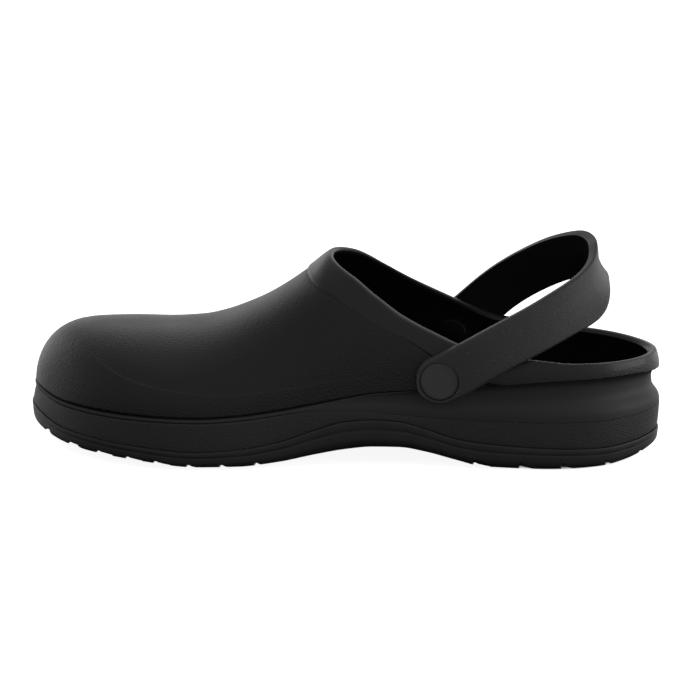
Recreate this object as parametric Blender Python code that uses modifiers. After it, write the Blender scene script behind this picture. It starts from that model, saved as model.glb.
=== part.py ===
"""A moulded work clog for the left foot, with its heel strap swung up.

The upper, sole unit, rubber outsole and insole are lofted round one foot outline. Each column of
the lofts stands on that outline, and tables by station give the height of each line it crosses.
X runs from the toe (-) to the heel (+), the outer side of the foot is at -Y, and Z is up.
"""

import math

import bmesh
import bpy
import numpy as np
from mathutils import Matrix

MM = 0.001

# Driving sizes in millimetres
COLUMNS = 82  # columns of every loft, an even number
TURN_WEIGHT = 70.0  # draws columns closer together where the outline turns
GAP = 0.3  # between pieces that meet
TOE_CENTRE = (-100.0, 4.0)  # the toe's dome spreads round this point
HEEL_CENTRE = (105.0, 0.0)
TOE_BLEND = (-80.0, -115.0)  # the round toe takes over from the straight vault between these
HEEL_BLEND = (90.0, 120.0)  # and the round heel between these
RIDGE_CENTRED = 20.0  # the ridge runs over the middle of the foot from here back
TOE_FULLNESS = 4.0  # flatness of the toe's top, 2 is an ellipse
TOE_SLOPE = 1.85  # steepness of its front, in the same way
NOSE = 34.0  # length over which the toe's front grows fuller
THROAT = -6.5  # front of the foot opening
LIP_HEIGHT = 1.0  # rounded edge of the collar
LIP_FULLER = 0.65  # and this much higher per mm that the outer side lies lower
CUFF_STEP = 0.75  # the collar band stands this proud
GUARD_STEP = 0.5  # and the toe guard this much
STEP_RUN = 0.5  # half the width of the slope at either step
SEAM_TUCK = 0.4  # the sole unit's top edge lies this far in at the seam
COVE_AT = 0.42  # the heel's cove is deepest at this share of the way down to the band
COVE_END = 0.85  # and ends at this share of it
COVE_STEP = 5  # how steeply it steps in under the seam
BAND_STEP = 0.35  # the grained band starts with a step this high
BAND_SWELL = 0.5  # and swells by a quarter of this
TRAY_WALL = 3.2  # rubber at the side of the outsole
TRAY_DRAFT = 1.5  # the tray's inside draws in by this towards its floor
TREAD_BASE = 4.5  # rubber under the foot, with its lugs
LUG_DEPTH = 1.5
LUG_GROOVE = 2.8
LUG_BAR = 160.0  # length of the bars that cut the grooves

LATERAL_RIVET = (46.5, 42.6)  # along, height
MEDIAL_RIVET = (46.0, 44.8)
CAP_RADIUS = 8.65
CAP_THICK = 1.6
CAP_CROWN = 0.1  # rise of the cap's middle over its face
CAP_ROUND = 0.9  # radius of its rim
POST_RADIUS = 4.0
BUTTON_RADIUS = 7.3
BUTTON_THICK = 2.6
BUTTON_ROUND = 1.2
SOCKET_DEPTH = 1.4
SEAT_PROUD = 0.5  # the button's flat seat lies this far in from the wall's inner face
SEAT_CLEAR = 0.5  # round the button
CUT_BEYOND = 6.0  # how far a cutter runs past the piece it cuts
TURNED_STEPS = 20

STRAP_WIDTH = 22.0  # at the rivets
STRAP_THICK = 4.8
STRAP_EDGE = {1: 1.4, -1: 0.6}  # radius of its edges, on its outer face and on its inner one
STRAP_ROWS = 2  # points up each of its faces
STRAP_CLEAR = 1.1  # between strap and upper at the rivets
STRAP_TILT = 33.4  # degrees up from level, at the middle of the loop
STRAP_TWIST = 6.0  # more at the inner arm, less at the outer one
STRAP_LEAN = 21.5  # degrees that its width leans forward at the back of the loop
STRAP_REACH = 83.0  # from the rivets to the back of the loop
HOLLOW_WITHIN = (40.0, 12.0)  # distance from the middle over which its hollow begins
STRAP_STATIONS = 33

LUGS_AT = (-135, -122.5, -108.5, -94.5, -81.5, -66.5, -51.5, -36, 62, 83, 102, 121.5, 136)

BLACK = (0.018, 0.018, 0.019, 1)
RUBBER = (0.013, 0.013, 0.014, 1)


def table(names, *rows):
    """Named columns of a table of sections."""
    return dict(zip(names.split(), np.array(rows, float).T))


def rows(columns):
    return zip(*columns.values())


# The upper's edge on the sole, from the toe tip round the outer side and back by the inner side
OUTLINE = table(
    "along across",
    (-142.4, 9.0),
    (-133.9, -15.2),
    (-115.0, -36.0),
    (-92.0, -47.5),
    (-62.0, -51.0),
    (-25.0, -45.0),
    (16.0, -39.5),
    (65.0, -38.0),
    (100.0, -36.0),
    (124.5, -27.0),
    (142.4, 0.0),
    (124.5, 27.0),
    (100.0, 36.0),
    (65.0, 38.0),
    (16.0, 37.5),
    (-25.0, 42.0),
    (-65.0, 50.0),
    (-92.0, 50.5),
    (-115.0, 44.5),
    (-133.9, 32.7),
)

# Heights of the lines round the side: tread, top of the rubber, top of the grained band, the seam
# under the upper, and the floor inside
SIDE = table(
    "along tread rubber band seam floor",
    (-142, 6.8, 16.6, 24.2, 26.4, 15.0),
    (-126, 4.3, 12.8, 22.4, 24.5, 14.6),
    (-108, 3.1, 11.6, 22.4, 24.5, 14.0),
    (-88, 1.8, 10.4, 22.4, 24.5, 13.4),
    (-64, 0.0, 9.0, 22.4, 24.5, 13.0),
    (-44, 0.0, 10.2, 23.4, 25.5, 13.6),
    (-26, 1.7, 13.2, 25.4, 27.6, 14.8),
    (-10, 4.5, 18.4, 27.2, 30.3, 16.2),
    (4, 6.5, 22.2, 27.4, 32.9, 17.5),
    (16, 7.5, 23.0, 26.6, 35.0, 18.6),
    (28, 7.5, 22.2, 25.4, 36.0, 19.6),
    (40, 5.8, 18.9, 24.4, 36.9, 20.5),
    (54, 2.5, 14.4, 23.6, 38.0, 21.4),
    (66, 0.0, 12.6, 23.2, 39.0, 22.0),
    (100, 0.0, 10.2, 22.4, 41.7, 22.3),
    (120, 0.0, 9.6, 22.3, 42.0, 22.4),
    (132, 1.4, 10.5, 23.0, 41.8, 22.5),
    (143, 4.8, 12.6, 24.0, 40.3, 22.5),
)

# How far the top of the grained band stands out from the seam, how far the side swells (+) or
# coves (-) between them, how far the band leans out to the rubber, how much of the rubber's ribs
# stands out, and how far the tread is tucked in under the side
SWELL = table(
    "along proud cove flare rib tuck",
    (-142, -0.4, 0.5, 1.5, 0.7, 4.5),
    (-115, 0.3, 0.5, 0.9, 0.8, 7.0),
    (-90, 0.7, 0.5, 0.6, 0.9, 13.5),
    (-60, 0.9, 0.5, 0.4, 0.9, 15.0),
    (-20, 0.7, 0.4, 0.4, 0.9, 11.0),
    (16, 0.6, -0.6, 0.3, 0.8, 14.5),
    (60, 0.3, -1.2, 0.1, 0.8, 8.5),
    (100, 0.3, -1.8, -0.1, 0.8, 4.0),
    (143, 0.9, -3.2, -1.0, 0.7, 7.0),
)

# The vault over the foot: height of its ridge and fullness of its cross-section. Behind the throat
# the ridge is open air, and sets only how the walls lean in
VAULT = table(
    "along ridge fullness",
    (-100, 54.6, 2.5),
    (-84, 54.6, 2.45),
    (-66, 56.4, 2.35),
    (-56, 59.2, 2.3),
    (-46, 63.4, 2.25),
    (-36, 68.5, 2.2),
    (-26, 75.0, 2.15),
    (-15, 83.4, 2.1),
    (-6.5, 90.2, 2.1),
    (6, 95.0, 2.1),
    (16, 96.4, 2.1),
    (28, 93.0, 2.1),
    (40, 86.4, 2.1),
    (54, 79.4, 2.1),
    (68, 73.4, 2.1),
    (90, 69.4, 2.1),
    (143, 65.4, 2.1),
)

# The collar: height of its lip's outer edge, how much lower that lies on the outer side, width
# of the raised band, share of the band's step, and thickness of the wall
COLLAR = table(
    "along height drop band step wall",
    (-6.5, 90.2, 0.0, 13.0, 1.0, 2.7),
    (4, 86.3, 1.6, 12.0, 0.6, 2.7),
    (16, 78.4, 1.6, 10.5, 0.2, 2.8),
    (28, 71.4, 3.2, 9.5, 0.15, 3.0),
    (40, 65.5, 3.2, 9.0, 0.25, 3.2),
    (54, 58.7, 2.4, 11.0, 0.6, 3.6),
    (68, 53.0, 0.8, 15.0, 1.0, 3.7),
    (89, 50.8, 0.0, 15.0, 1.0, 3.8),
    (106, 48.8, 0.0, 15.0, 1.0, 3.8),
    (120, 48.2, 0.0, 15.0, 1.0, 3.8),
    (143, 47.5, 0.0, 15.0, 1.0, 3.8),
)

# The toe guard: its height up the wall from the seam, and how much of its step is left
GUARD = table(
    "along rise share",
    (-141, 34.0, 0.0),
    (-122, 25.5, 0.0),
    (-104, 18.0, 0.8),
    (-85, 14.2, 1.0),
    (-60, 12.0, 0.8),
    (-26, 11.0, 0.4),
    (3, 9.5, 0.1),
    (18, 9.0, 0.0),
    (143, 3.0, 0.0),
)

# Inside of the cup that the sole unit forms: how far in from its wall, and up from its floor
CUP = table(
    "inset rise",
    (6.0, 0.0),
    (2.2, 1.2),
    (0.8, 4.0),
)

# Section of the insole's edge, in the same way
FOOTBED = table(
    "inset rise",
    (6.6, 0.3),
    (2.7, 1.5),
    (1.3, 4.3),
    (3.0, 4.6),
    (8.0, 4.3),
)

# Section of the outsole's side: share of its height, how far it stands out from the grained band,
# and share of the tuck under the foot
RIBS = table(
    "share offset tucked",
    (0.00, 0.0, 1.00),
    (0.08, 0.0, 0.50),
    (0.32, -0.4, 0.08),
    (0.58, 0.3, 0.00),
    (0.70, 0.0, 0.00),
    (0.82, 0.8, 0.00),
    (1.00, 0.7, 0.00),
)

# The strap's two edges by distance along it from a rivet, above and below its middle line
STRAP_EDGES = table(
    "along above below",
    (-STRAP_WIDTH / 2, 11.0, 11.0),
    (5.0, 11.0, 11.0),
    (30.0, 11.8, 9.2),
    (60.0, 10.4, 11.1),
    (80.0, 8.4, 13.8),
    (94.0, 7.6, 12.4),
    (104.0, 8.2, 11.8),
)

# Half of the strap's loop, laid flat: along from the rivet, and across beyond the rivet
STRAP_PATH = table(
    "along across",
    (-40.0, 0.0),
    (-STRAP_WIDTH / 2, 0.0),
    (0.0, 0.0),
    (21.0, 1.2),
    (42.0, -1.9),
    (58.0, -7.6),
    (70.0, -14.4),
    (78.5, -22.7),
    (STRAP_REACH, -40.0),
)

# How far the strap hollows across its width where it turns behind the heel
STRAP_HOLLOW = table(
    "lift out",
    (-13.5, -0.6),
    (-10.0, -1.7),
    (-6.5, -2.4),
    (-3.0, -2.6),
    (0.5, -2.3),
    (4.5, -1.0),
    (8.2, 0.0),
)


def smooth_line(columns, name, measure="along"):
    """A curve through a table's column, which never overshoots between its rows."""
    x, y = columns[measure], columns[name]
    step = np.diff(x)
    slope = np.diff(y) / step
    before, after = slope[:-1], slope[1:]
    turn = before * after > 0
    mean = np.where(turn, 2 * before * after / np.where(turn, before + after, 1), 0)
    tangent = np.concatenate([slope[:1], mean, slope[-1:]])

    def at(along):
        along = np.clip(along, x[0], x[-1])
        k = np.clip(np.searchsorted(x, along, side="right") - 1, 0, len(step) - 1)
        t = (along - x[k]) / step[k]
        return (
            y[k] * (1 + 2 * t) * (1 - t) ** 2
            + y[k + 1] * t * t * (3 - 2 * t)
            + step[k] * t * (1 - t) * (tangent[k] * (1 - t) - tangent[k + 1] * t)
        )

    return at


def lines(columns):
    return {name: smooth_line(columns, name) for name in columns if name != "along"}


def smooth_loop(points, per_span=40):
    """A closed cubic spline through points, as a dense polyline."""
    count = len(points)
    chord = np.linalg.norm(np.roll(points, -1, axis=0) - points, axis=1)
    before = np.roll(chord, 1)
    system = np.zeros((count, count))
    rows = np.arange(count)
    system[rows, rows] = 2 * (chord + before)
    system[rows, (rows + 1) % count] = before
    system[rows, (rows - 1) % count] = chord
    slope = (np.roll(points, -1, axis=0) - points) / chord[:, None]
    right = 3 * (before[:, None] * slope + chord[:, None] * np.roll(slope, 1, axis=0))
    tangent = np.linalg.solve(system, right)
    t = np.linspace(0, 1, per_span, endpoint=False)[None, :, None]
    start, end = points[:, None], np.roll(points, -1, axis=0)[:, None]
    leave, arrive = tangent[:, None], np.roll(tangent, -1, axis=0)[:, None]
    span = chord[:, None, None]
    dense = (
        start * (1 + 2 * t) * (1 - t) ** 2
        + end * t * t * (3 - 2 * t)
        + span * t * (1 - t) * (leave * (1 - t) - arrive * t)
    )
    return dense.reshape(-1, points.shape[1])


def lengths(points):
    """Distance along a polyline to each of its points."""
    return np.concatenate([[0], np.cumsum(np.linalg.norm(np.diff(points, axis=0), axis=1))])


def resample(points, measure, at):
    return np.column_stack([np.interp(at, measure, axis) for axis in points.T])


def smoothstep(value, start=0.0, end=1.0):
    """0 at start, 1 at end, with level ends."""
    value = np.clip((value - start) / (end - start), 0, 1)
    return value * value * (3 - 2 * value)


side, swell, vault, collar, guard, strap_edges = map(
    lines, (SIDE, SWELL, VAULT, COLLAR, GUARD, STRAP_EDGES)
)
strap_hollow = smooth_line(STRAP_HOLLOW, "out", "lift")

loop = smooth_loop(np.column_stack([OUTLINE["along"], OUTLINE["across"]]))
toe, heel = np.argmin(loop[:, 0]), np.argmax(loop[:, 0])
loop = np.roll(loop, -toe, axis=0)
heel = (heel - toe) % len(loop)
OUTER_SIDE = loop[: heel + 1]
INNER_SIDE = np.vstack([loop[heel:], loop[:1]])[::-1]


def edge_across(along, inner):
    """Where the outline lies across the foot at a station."""
    half = INNER_SIDE if inner else OUTER_SIDE
    return np.interp(along, half[:, 0], half[:, 1])


def ridge_across(along):
    """The line from the toe's centre to the heel's, under the ridge of the vault."""
    return np.interp(along, (TOE_CENTRE[0], RIDGE_CENTRED), (TOE_CENTRE[1], HEEL_CENTRE[1]))


def fan_reach(points, centre, facing):
    """How far out points lie from a centre, as a share of the way to the outline."""
    spread = loop - centre
    angle = np.arctan2(spread[:, 1], facing * spread[:, 0])
    order = np.argsort(angle)
    away = points - centre
    radius = np.interp(
        np.arctan2(away[:, 1], facing * away[:, 0]),
        angle[order],
        np.linalg.norm(spread, axis=1)[order],
        period=2 * math.pi,
    )
    return np.linalg.norm(away, axis=1) / radius


def reach(points):
    """0 on the ridge and 1 on the outline, with round ends at the toe and the heel."""
    along, across = points.T
    middle = ridge_across(along)
    edge = np.where(across > middle, edge_across(along, True), edge_across(along, False))
    straight = np.abs(across - middle) / np.maximum(np.abs(edge - middle), 1e-6)
    toe_share = smoothstep(along, *TOE_BLEND)
    heel_share = smoothstep(along, *HEEL_BLEND)
    result = straight * (1 - toe_share - heel_share)
    result += toe_share * fan_reach(points, TOE_CENTRE, -1)
    result += heel_share * fan_reach(points, HEEL_CENTRE, 1)
    return np.clip(result, 0, 1)


def vault_height(points):
    """Height of the upper's outer face over points of the plan, with a fuller front to the toe."""
    along = points[:, 0]
    ahead = smoothstep(along, TOE_CENTRE[0], TOE_CENTRE[0] - NOSE)
    full = vault["fullness"](along)
    power, root = (full + (nose - full) * ahead for nose in (TOE_FULLNESS, TOE_SLOPE))
    seam = side["seam"](along)
    return seam + (vault["ridge"](along) - seam) * (1 - reach(points) ** power) ** (1 / root)


def columns_of(half):
    """Stations along one half of the outline, closer together where it turns faster."""
    heading = np.unwrap(np.arctan2(*np.gradient(half, axis=0).T[::-1]))
    turning = np.concatenate([[0], np.cumsum(np.abs(np.diff(heading)))])
    measure = lengths(half) + TURN_WEIGHT * turning
    return resample(half, measure, np.linspace(0, measure[-1], COLUMNS // 2 + 1))


def collar_curve(inner):
    """The collar's edge in plan, from the throat to the middle of the heel."""
    half = INNER_SIDE if inner else OUTER_SIDE
    along = THROAT + (HEEL_CENTRE[0] - THROAT) * np.linspace(0, 1, 90) ** 2
    edge = np.column_stack([along, edge_across(along, inner)])
    middle = np.column_stack([along, ridge_across(along)])
    round_heel = half[half[:, 0] > HEEL_CENTRE[0]]
    edge = np.vstack([edge, round_heel])
    middle = np.vstack([middle, np.tile(HEEL_CENTRE, (len(round_heel), 1))])
    power, seam = vault["fullness"](edge[:, 0]), side["seam"](edge[:, 0])
    height = collar["height"](edge[:, 0]) - (0 if inner else collar["drop"](edge[:, 0]))
    rise = (height - seam) / (vault["ridge"](edge[:, 0]) - seam)
    share = (1 - np.clip(rise, 0, 1) ** power) ** (1 / power)
    return middle + share[:, None] * (edge - middle)


def collar_ends(half_columns, inner):
    """The collar point of each column: square across at the heel, fanning out from the throat."""
    curve = collar_curve(inner)
    measure = lengths(curve)
    half = INNER_SIDE if inner else OUTER_SIDE
    total = lengths(half)[-1]
    back = total - np.interp(half_columns[:, 0], half[:, 0], lengths(half))
    away = measure[-1] * (1 - (1 - back / total) ** (total / measure[-1]))
    return resample(curve, measure, measure[-1] - away)


def both_sides(outer, inner):
    """One loop of columns: toe tip, outer side, heel, inner side."""
    return np.vstack([outer, inner[-2:0:-1]])


outer_columns, inner_columns = columns_of(OUTER_SIDE), columns_of(INNER_SIDE)
SEAM_PLAN = both_sides(outer_columns, inner_columns)
COLLAR_PLAN = both_sides(collar_ends(outer_columns, False), collar_ends(inner_columns, True))
tangent = np.roll(SEAM_PLAN, -1, axis=0) - np.roll(SEAM_PLAN, 1, axis=0)
OUTWARD = np.column_stack([tangent[:, 1], -tangent[:, 0]])
OUTWARD *= np.sign(np.sum(OUTWARD * (SEAM_PLAN - SEAM_PLAN.mean(axis=0)), axis=1))[:, None]
OUTWARD /= np.linalg.norm(OUTWARD, axis=1)[:, None]
STATION = SEAM_PLAN[:, 0]
WALL = collar["wall"](COLLAR_PLAN[:, 0])


def unit(vectors):
    return vectors / np.linalg.norm(vectors, axis=-1, keepdims=True)


def upper_columns(shares):
    """The upper's outer face without its steps, as rings of points from the seam to the collar.

    shares gives the number of rings in each stretch: seam to guard line, guard line to collar
    band, and collar band. Returned with each ring's distance from the seam and from the collar.
    """
    progress = np.linspace(0, 1, 160) ** 3
    grid, up, down = [], [], []
    for seam, end in zip(SEAM_PLAN, COLLAR_PLAN):
        plan = seam + progress[:, None] * (end - seam)
        path = np.column_stack([plan, vault_height(plan)])
        run = lengths(path)
        total = run[-1]
        low = min(float(guard["rise"](seam[0])), 0.3 * total)
        high = max(total - float(collar["band"](end[0])), 0.6 * total)
        slope = min(STEP_RUN, 0.05 * total)
        stops = np.concatenate(
            [
                np.linspace(0, low - slope, shares[0]),
                np.linspace(low + slope, high - slope, shares[1]),
                np.linspace(high + slope, total, shares[2]),
            ]
        )
        grid.append(resample(path, run, stops))
        up.append(stops)
        down.append(total - stops)
    return np.swapaxes(grid, 0, 1), np.transpose(up), np.transpose(down)


def face_normals(grid):
    """Outward unit normals of rings of points."""
    round_way = np.roll(grid, -1, axis=1) - np.roll(grid, 1, axis=1)
    normal = unit(np.cross(round_way, np.gradient(grid, axis=0)))
    outwards = normal[0, :, :2] @ OUTWARD.T
    return normal if np.trace(outwards) > 0 else -normal


def stepped(grid, normal, up, down):
    """The outer face with its toe guard and its collar band raised."""
    rise, band = guard["rise"](STATION), collar["band"](COLLAR_PLAN[:, 0])
    on_guard = smoothstep(up, rise + STEP_RUN, rise - STEP_RUN)
    on_band = smoothstep(down, band + STEP_RUN, band - STEP_RUN)
    proud = GUARD_STEP * guard["share"](STATION) * on_guard
    proud = proud + CUFF_STEP * collar["step"](COLLAR_PLAN[:, 0]) * on_band
    return grid + normal * proud[..., None]


def upper_rings():
    """The upper's wall: outer face, rounded collar lip, and inner face down to the seam again."""
    grid, up, down = upper_columns((5, 6, 3))
    normal = face_normals(grid)
    outer = stepped(grid, normal, up, down)
    inner = grid - normal * WALL[:, None]
    rise = unit(grid[-1] - grid[-2])
    lower = np.where(SEAM_PLAN[:, 1] < 0, collar["drop"](COLLAR_PLAN[:, 0]), 0)
    rise *= (LIP_HEIGHT + LIP_FULLER * lower)[:, None]
    lip = []
    for turn in np.radians((45, 90, 135)):
        share = (1 - math.cos(turn)) / 2
        edge = outer[-1] + (inner[-1] - outer[-1]) * share
        lip.append(edge + rise * math.sin(turn))
    return [*outer, *lip, *inner[::-1][::2]]


def ring(offset, height):
    """A ring of points, set out from the seam's outline by an offset."""
    plan = SEAM_PLAN + OUTWARD * np.broadcast_to(offset, STATION.shape)[:, None]
    return np.column_stack([plan, np.broadcast_to(height, STATION.shape)])


at_side = {name: line(STATION) for name, line in side.items()}
at_swell = {name: line(STATION) for name, line in swell.items()}
STANDS = at_swell["proud"] + at_swell["flare"]
TREAD_TOP = at_side["tread"] + np.minimum(
    TREAD_BASE, 0.5 * (at_side["rubber"] - at_side["tread"])
)


def cove_depth(share):
    """Share of the cove's depth: a step under the seam, then easing out again to the band."""
    down = 1 - share
    if down < COVE_AT:
        return 1 - (1 - down / COVE_AT) ** COVE_STEP
    return (1 + math.cos(math.pi * min((down - COVE_AT) / (COVE_END - COVE_AT), 1))) / 2


def midsole_rings():
    """From the floor of the cup up its inner face, over the rim and down the side into the tray."""
    floor, seam = at_side["floor"], at_side["seam"] - GAP
    band, rubber = at_side["band"], at_side["rubber"] + GAP
    proud, cove = at_swell["proud"], at_swell["cove"]
    inside = [ring(-WALL - inset, floor + rise) for inset, rise in rows(CUP)]
    inside.append(ring(-WALL, seam))
    swelling = []
    for share in (1, 0.88, 0.62, 0.38, 0.15, 0):
        bow = np.where(cove < 0, cove_depth(share), 4 * share * (1 - share))
        height = band + (seam - band) * share
        swelling.append(ring(proud * (1 - share) - SEAM_TUCK * share + cove * bow, height))
    grained = []
    for share in (0.9, 0.5, 0):
        height = rubber + (band - rubber) * share
        lean = proud + at_swell["flare"] * (1 - share)
        grained.append(ring(lean + BAND_STEP + BAND_SWELL * share * (1 - share), height))
    in_tray = STANDS - TRAY_WALL - GAP
    below = [ring(in_tray, rubber), ring(in_tray - TRAY_DRAFT, TREAD_TOP + GAP)]
    return [*inside, *swelling, *grained, *below]


def outsole_rings():
    """The rubber tray: tread, side with its two ribs, and the inside that holds the sole unit."""
    tread, top = at_side["tread"], at_side["rubber"]
    rib, tuck = at_swell["rib"], at_swell["tuck"]
    rings = []
    for share, offset, tucked in rows(RIBS):
        rings.append(ring(STANDS + rib * offset - tuck * tucked, tread + (top - tread) * share))
    rings.append(ring(STANDS - TRAY_WALL, top))
    rings.append(ring(STANDS - TRAY_WALL - TRAY_DRAFT, TREAD_TOP))
    return rings


def insole_rings():
    """The footbed, with its edge turned up a little along the cup's inner face."""
    return [ring(-WALL - inset, at_side["floor"] + rise) for inset, rise in rows(FOOTBED)]


def new_object(name, bm, colour, roughness, collection):
    """A mesh object in metres with its own material."""
    bmesh.ops.recalc_face_normals(bm, faces=bm.faces)
    mesh = bpy.data.meshes.new(name)
    bm.to_mesh(mesh)
    bm.free()
    mesh.shade_smooth()
    mesh.set_sharp_from_angle(angle=math.radians(40))
    thing = bpy.data.objects.new(name, mesh)
    collection.objects.link(thing)
    material = bpy.data.materials.new(name)
    material.use_nodes = True
    shader = material.node_tree.nodes["Principled BSDF"]
    shader.inputs["Base Color"].default_value = colour
    shader.inputs["Roughness"].default_value = roughness
    shader.inputs["Metallic"].default_value = 0.0
    mesh.materials.append(material)
    return thing


def loft(rings, cap=None):
    """Rings of equal count joined by faces. A cap closes either end, or else the ends are joined."""
    bm = bmesh.new()
    laid = [[bm.verts.new(point * MM) for point in points] for points in rings]
    count = len(laid[0])
    pairs = list(zip(laid, laid[1:]))
    if cap:
        cap(bm, laid[0])
        cap(bm, laid[-1])
    else:
        pairs.append((laid[-1], laid[0]))
    for low, high in pairs:
        for j in range(count):
            k = (j + 1) % count
            bm.faces.new((low[j], low[k], high[k], high[j]))
    return bm


def cap_across(bm, row):
    """Closes a ring with strips from one side of the foot to the other."""
    count = len(row)
    for j in range(count // 2):
        corners = (row[j], row[j + 1], row[(count - j - 1) % count], row[(count - j) % count])
        bm.faces.new(tuple(dict.fromkeys(corners)))


def cap_flat(bm, row):
    """Closes a ring with one face."""
    bm.faces.new(row)


def turned(name, profile, colour, roughness, collection):
    """A turned piece: its profile of (radius, height) runs down its outer side."""
    bm = bmesh.new()
    points = [bm.verts.new((radius * MM, 0, height * MM)) for radius, height in profile]
    for first, second in zip(points, points[1:]):
        bm.edges.new((first, second))
    thing = new_object(name, bm, colour, roughness, collection)
    screw = thing.modifiers.new("turn", "SCREW")
    screw.steps = screw.render_steps = TURNED_STEPS
    screw.use_merge_vertices = True
    screw.merge_threshold = 0.00001
    return thing


def wall_across(along, height):
    """How far out the wall's outer face lies behind the throat, on the wider side of the foot."""
    seam, power = float(side["seam"](along)), float(vault["fullness"](along))
    rise = (height - seam) / (float(vault["ridge"](along)) - seam)
    share = (1 - rise**power) ** (1 / power)
    return share * max(abs(float(edge_across(along, inner))) for inner in (False, True))


RIVET_WALL = max(wall_across(*LATERAL_RIVET), wall_across(*MEDIAL_RIVET))
STRAP_INSIDE = RIVET_WALL + STRAP_CLEAR
SEAT = RIVET_WALL - float(collar["wall"](LATERAL_RIVET[0])) - SEAT_PROUD
CAP_FACE = STRAP_INSIDE + STRAP_THICK


def rivet(outward, at, end, parts, cutters):
    """Cap with its post, button inside, and the cutter for the strap and the wall between."""
    cap_under = CAP_FACE - CAP_THICK
    post_end = SEAT - SOCKET_DEPTH
    cap = (
        (0, CAP_FACE),
        (CAP_RADIUS - 2 * CAP_ROUND, CAP_FACE - CAP_CROWN),
        (CAP_RADIUS - CAP_ROUND / 2, CAP_FACE - CAP_CROWN - CAP_ROUND / 3),
        (CAP_RADIUS, CAP_FACE - CAP_CROWN - CAP_ROUND),
        (CAP_RADIUS, cap_under),
        (POST_RADIUS, cap_under),
        (POST_RADIUS, post_end),
        (0, post_end),
    )
    face = SEAT - GAP
    back = face - BUTTON_THICK
    button = (
        (0, post_end - GAP),
        (POST_RADIUS + GAP, post_end - GAP),
        (POST_RADIUS + GAP, face),
        (BUTTON_RADIUS, face),
        (BUTTON_RADIUS, back + BUTTON_ROUND),
        (BUTTON_RADIUS - BUTTON_ROUND, back),
        (0, back),
    )
    clear = (
        (0, CAP_FACE + CUT_BEYOND),
        (CAP_RADIUS + GAP, CAP_FACE + CUT_BEYOND),
        (CAP_RADIUS + GAP, cap_under - GAP),
        (POST_RADIUS + GAP, cap_under - GAP),
        (POST_RADIUS + GAP, SEAT),
        (BUTTON_RADIUS + SEAT_CLEAR, SEAT),
        (BUTTON_RADIUS + SEAT_CLEAR, SEAT - CUT_BEYOND),
        (0, SEAT - CUT_BEYOND),
    )
    for thing in (
        turned(f"rivet_outer_{end}", cap, BLACK, 0.45, parts),
        turned(f"rivet_inner_{end}", button, BLACK, 0.5, parts),
        turned(f"cut_rivet_{end}", clear, BLACK, 0.5, cutters),
    ):
        thing.location = (at[0] * MM, 0, at[1] * MM)
        thing.rotation_euler = (-outward * math.pi / 2, 0, 0)
    return thing


def strap_section(above, below):
    """Rounded rectangle of the strap: across its thickness and up its width."""
    half_thick = STRAP_THICK / 2
    points = []
    for quarter, (sign_out, up) in enumerate(((1, above), (-1, above), (-1, -below), (1, -below))):
        edge = min(STRAP_EDGE[sign_out], above * 0.8)
        for turn in np.radians((0, 45, 90)):
            angle = turn + quarter * math.pi / 2
            out = sign_out * (half_thick - edge) + edge * math.cos(angle)
            points.append((out, up - math.copysign(edge, up) + edge * math.sin(angle)))
        if quarter in (1, 3):
            flat = np.linspace(above - edge, edge - below, STRAP_ROWS + 2)[1:-1]
            flat = flat if quarter == 1 else flat[::-1]
            points += [(sign_out * half_thick, lift) for lift in flat]
    return points


def strap_rings():
    """The strap's sections round its loop, from the outer rivet to the inner one."""
    half = np.column_stack([STRAP_PATH["along"], STRAP_PATH["across"]])
    half[:, 1] += CAP_FACE - STRAP_THICK / 2
    half[-1, 1] = 0
    dense = smooth_loop(np.vstack([half * (1, -1), half[-2::-1]]))
    path = dense[dense[:, 0] > -STRAP_WIDTH / 2]
    run = lengths(path)
    end = STRAP_WIDTH / 2
    round_end = end * (1 - np.cos(np.radians((8, 25, 42, 59, 76))))
    middle = np.linspace(end, run[-1] - end, STRAP_STATIONS)
    stops = np.concatenate([round_end, middle, run[-1] - round_end[::-1]])
    centre = resample(path, run, stops)
    heading = unit(np.gradient(centre, stops, axis=0))
    away = np.minimum(stops, run[-1] - stops) - end
    round_share = np.sqrt(1 - np.clip(-away / end, 0, 1) ** 2)
    above, below = (strap_edges[name](away) * round_share for name in ("above", "below"))
    hollow = smoothstep(np.abs(centre[:, 1]), *HOLLOW_WITHIN)
    middle_at = np.add(MEDIAL_RIVET, LATERAL_RIVET) / 2
    half_apart = np.subtract(MEDIAL_RIVET, LATERAL_RIVET) / 2
    rings = []
    for k, ((along, across), (forward, sideways)) in enumerate(zip(centre, heading)):
        tilt = math.radians(STRAP_TILT + STRAP_TWIST * across / CAP_FACE)
        lean = math.radians(STRAP_LEAN)
        lean += (tilt - lean) * smoothstep(abs(across), 0, CAP_FACE)
        pivot = middle_at + half_apart * across / CAP_FACE
        points = []
        for out, up in strap_section(above[k], below[k]):
            out += hollow[k] * float(strap_hollow(up))
            laid = along + sideways * out
            points.append(
                (
                    pivot[0] + laid * math.cos(tilt) - up * math.sin(lean),
                    across - forward * out,
                    pivot[1] + laid * math.sin(tilt) + up * math.cos(lean),
                )
            )
        rings.append(np.array(points))
    return rings


def lug_cutter(cutters):
    """Bars that cut the grooves between the lugs, each square to the tread where it lies."""
    bm = bmesh.new()
    for along in LUGS_AT:
        ends = along - LUG_GROOVE / 2, along + LUG_GROOVE / 2
        low, high = (float(side["tread"](end)) for end in ends)
        slope = math.atan2(high - low, LUG_GROOVE)
        place = Matrix.Translation((along, 0, (low + high) / 2)) @ Matrix.Rotation(-slope, 4, "Y")
        size = Matrix.Diagonal((LUG_GROOVE, LUG_BAR, 2 * LUG_DEPTH, 1))
        bmesh.ops.create_cube(bm, size=1, matrix=Matrix.Scale(MM, 4) @ place @ size)
    return new_object("cut_lugs", bm, RUBBER, 0.6, cutters)


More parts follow.
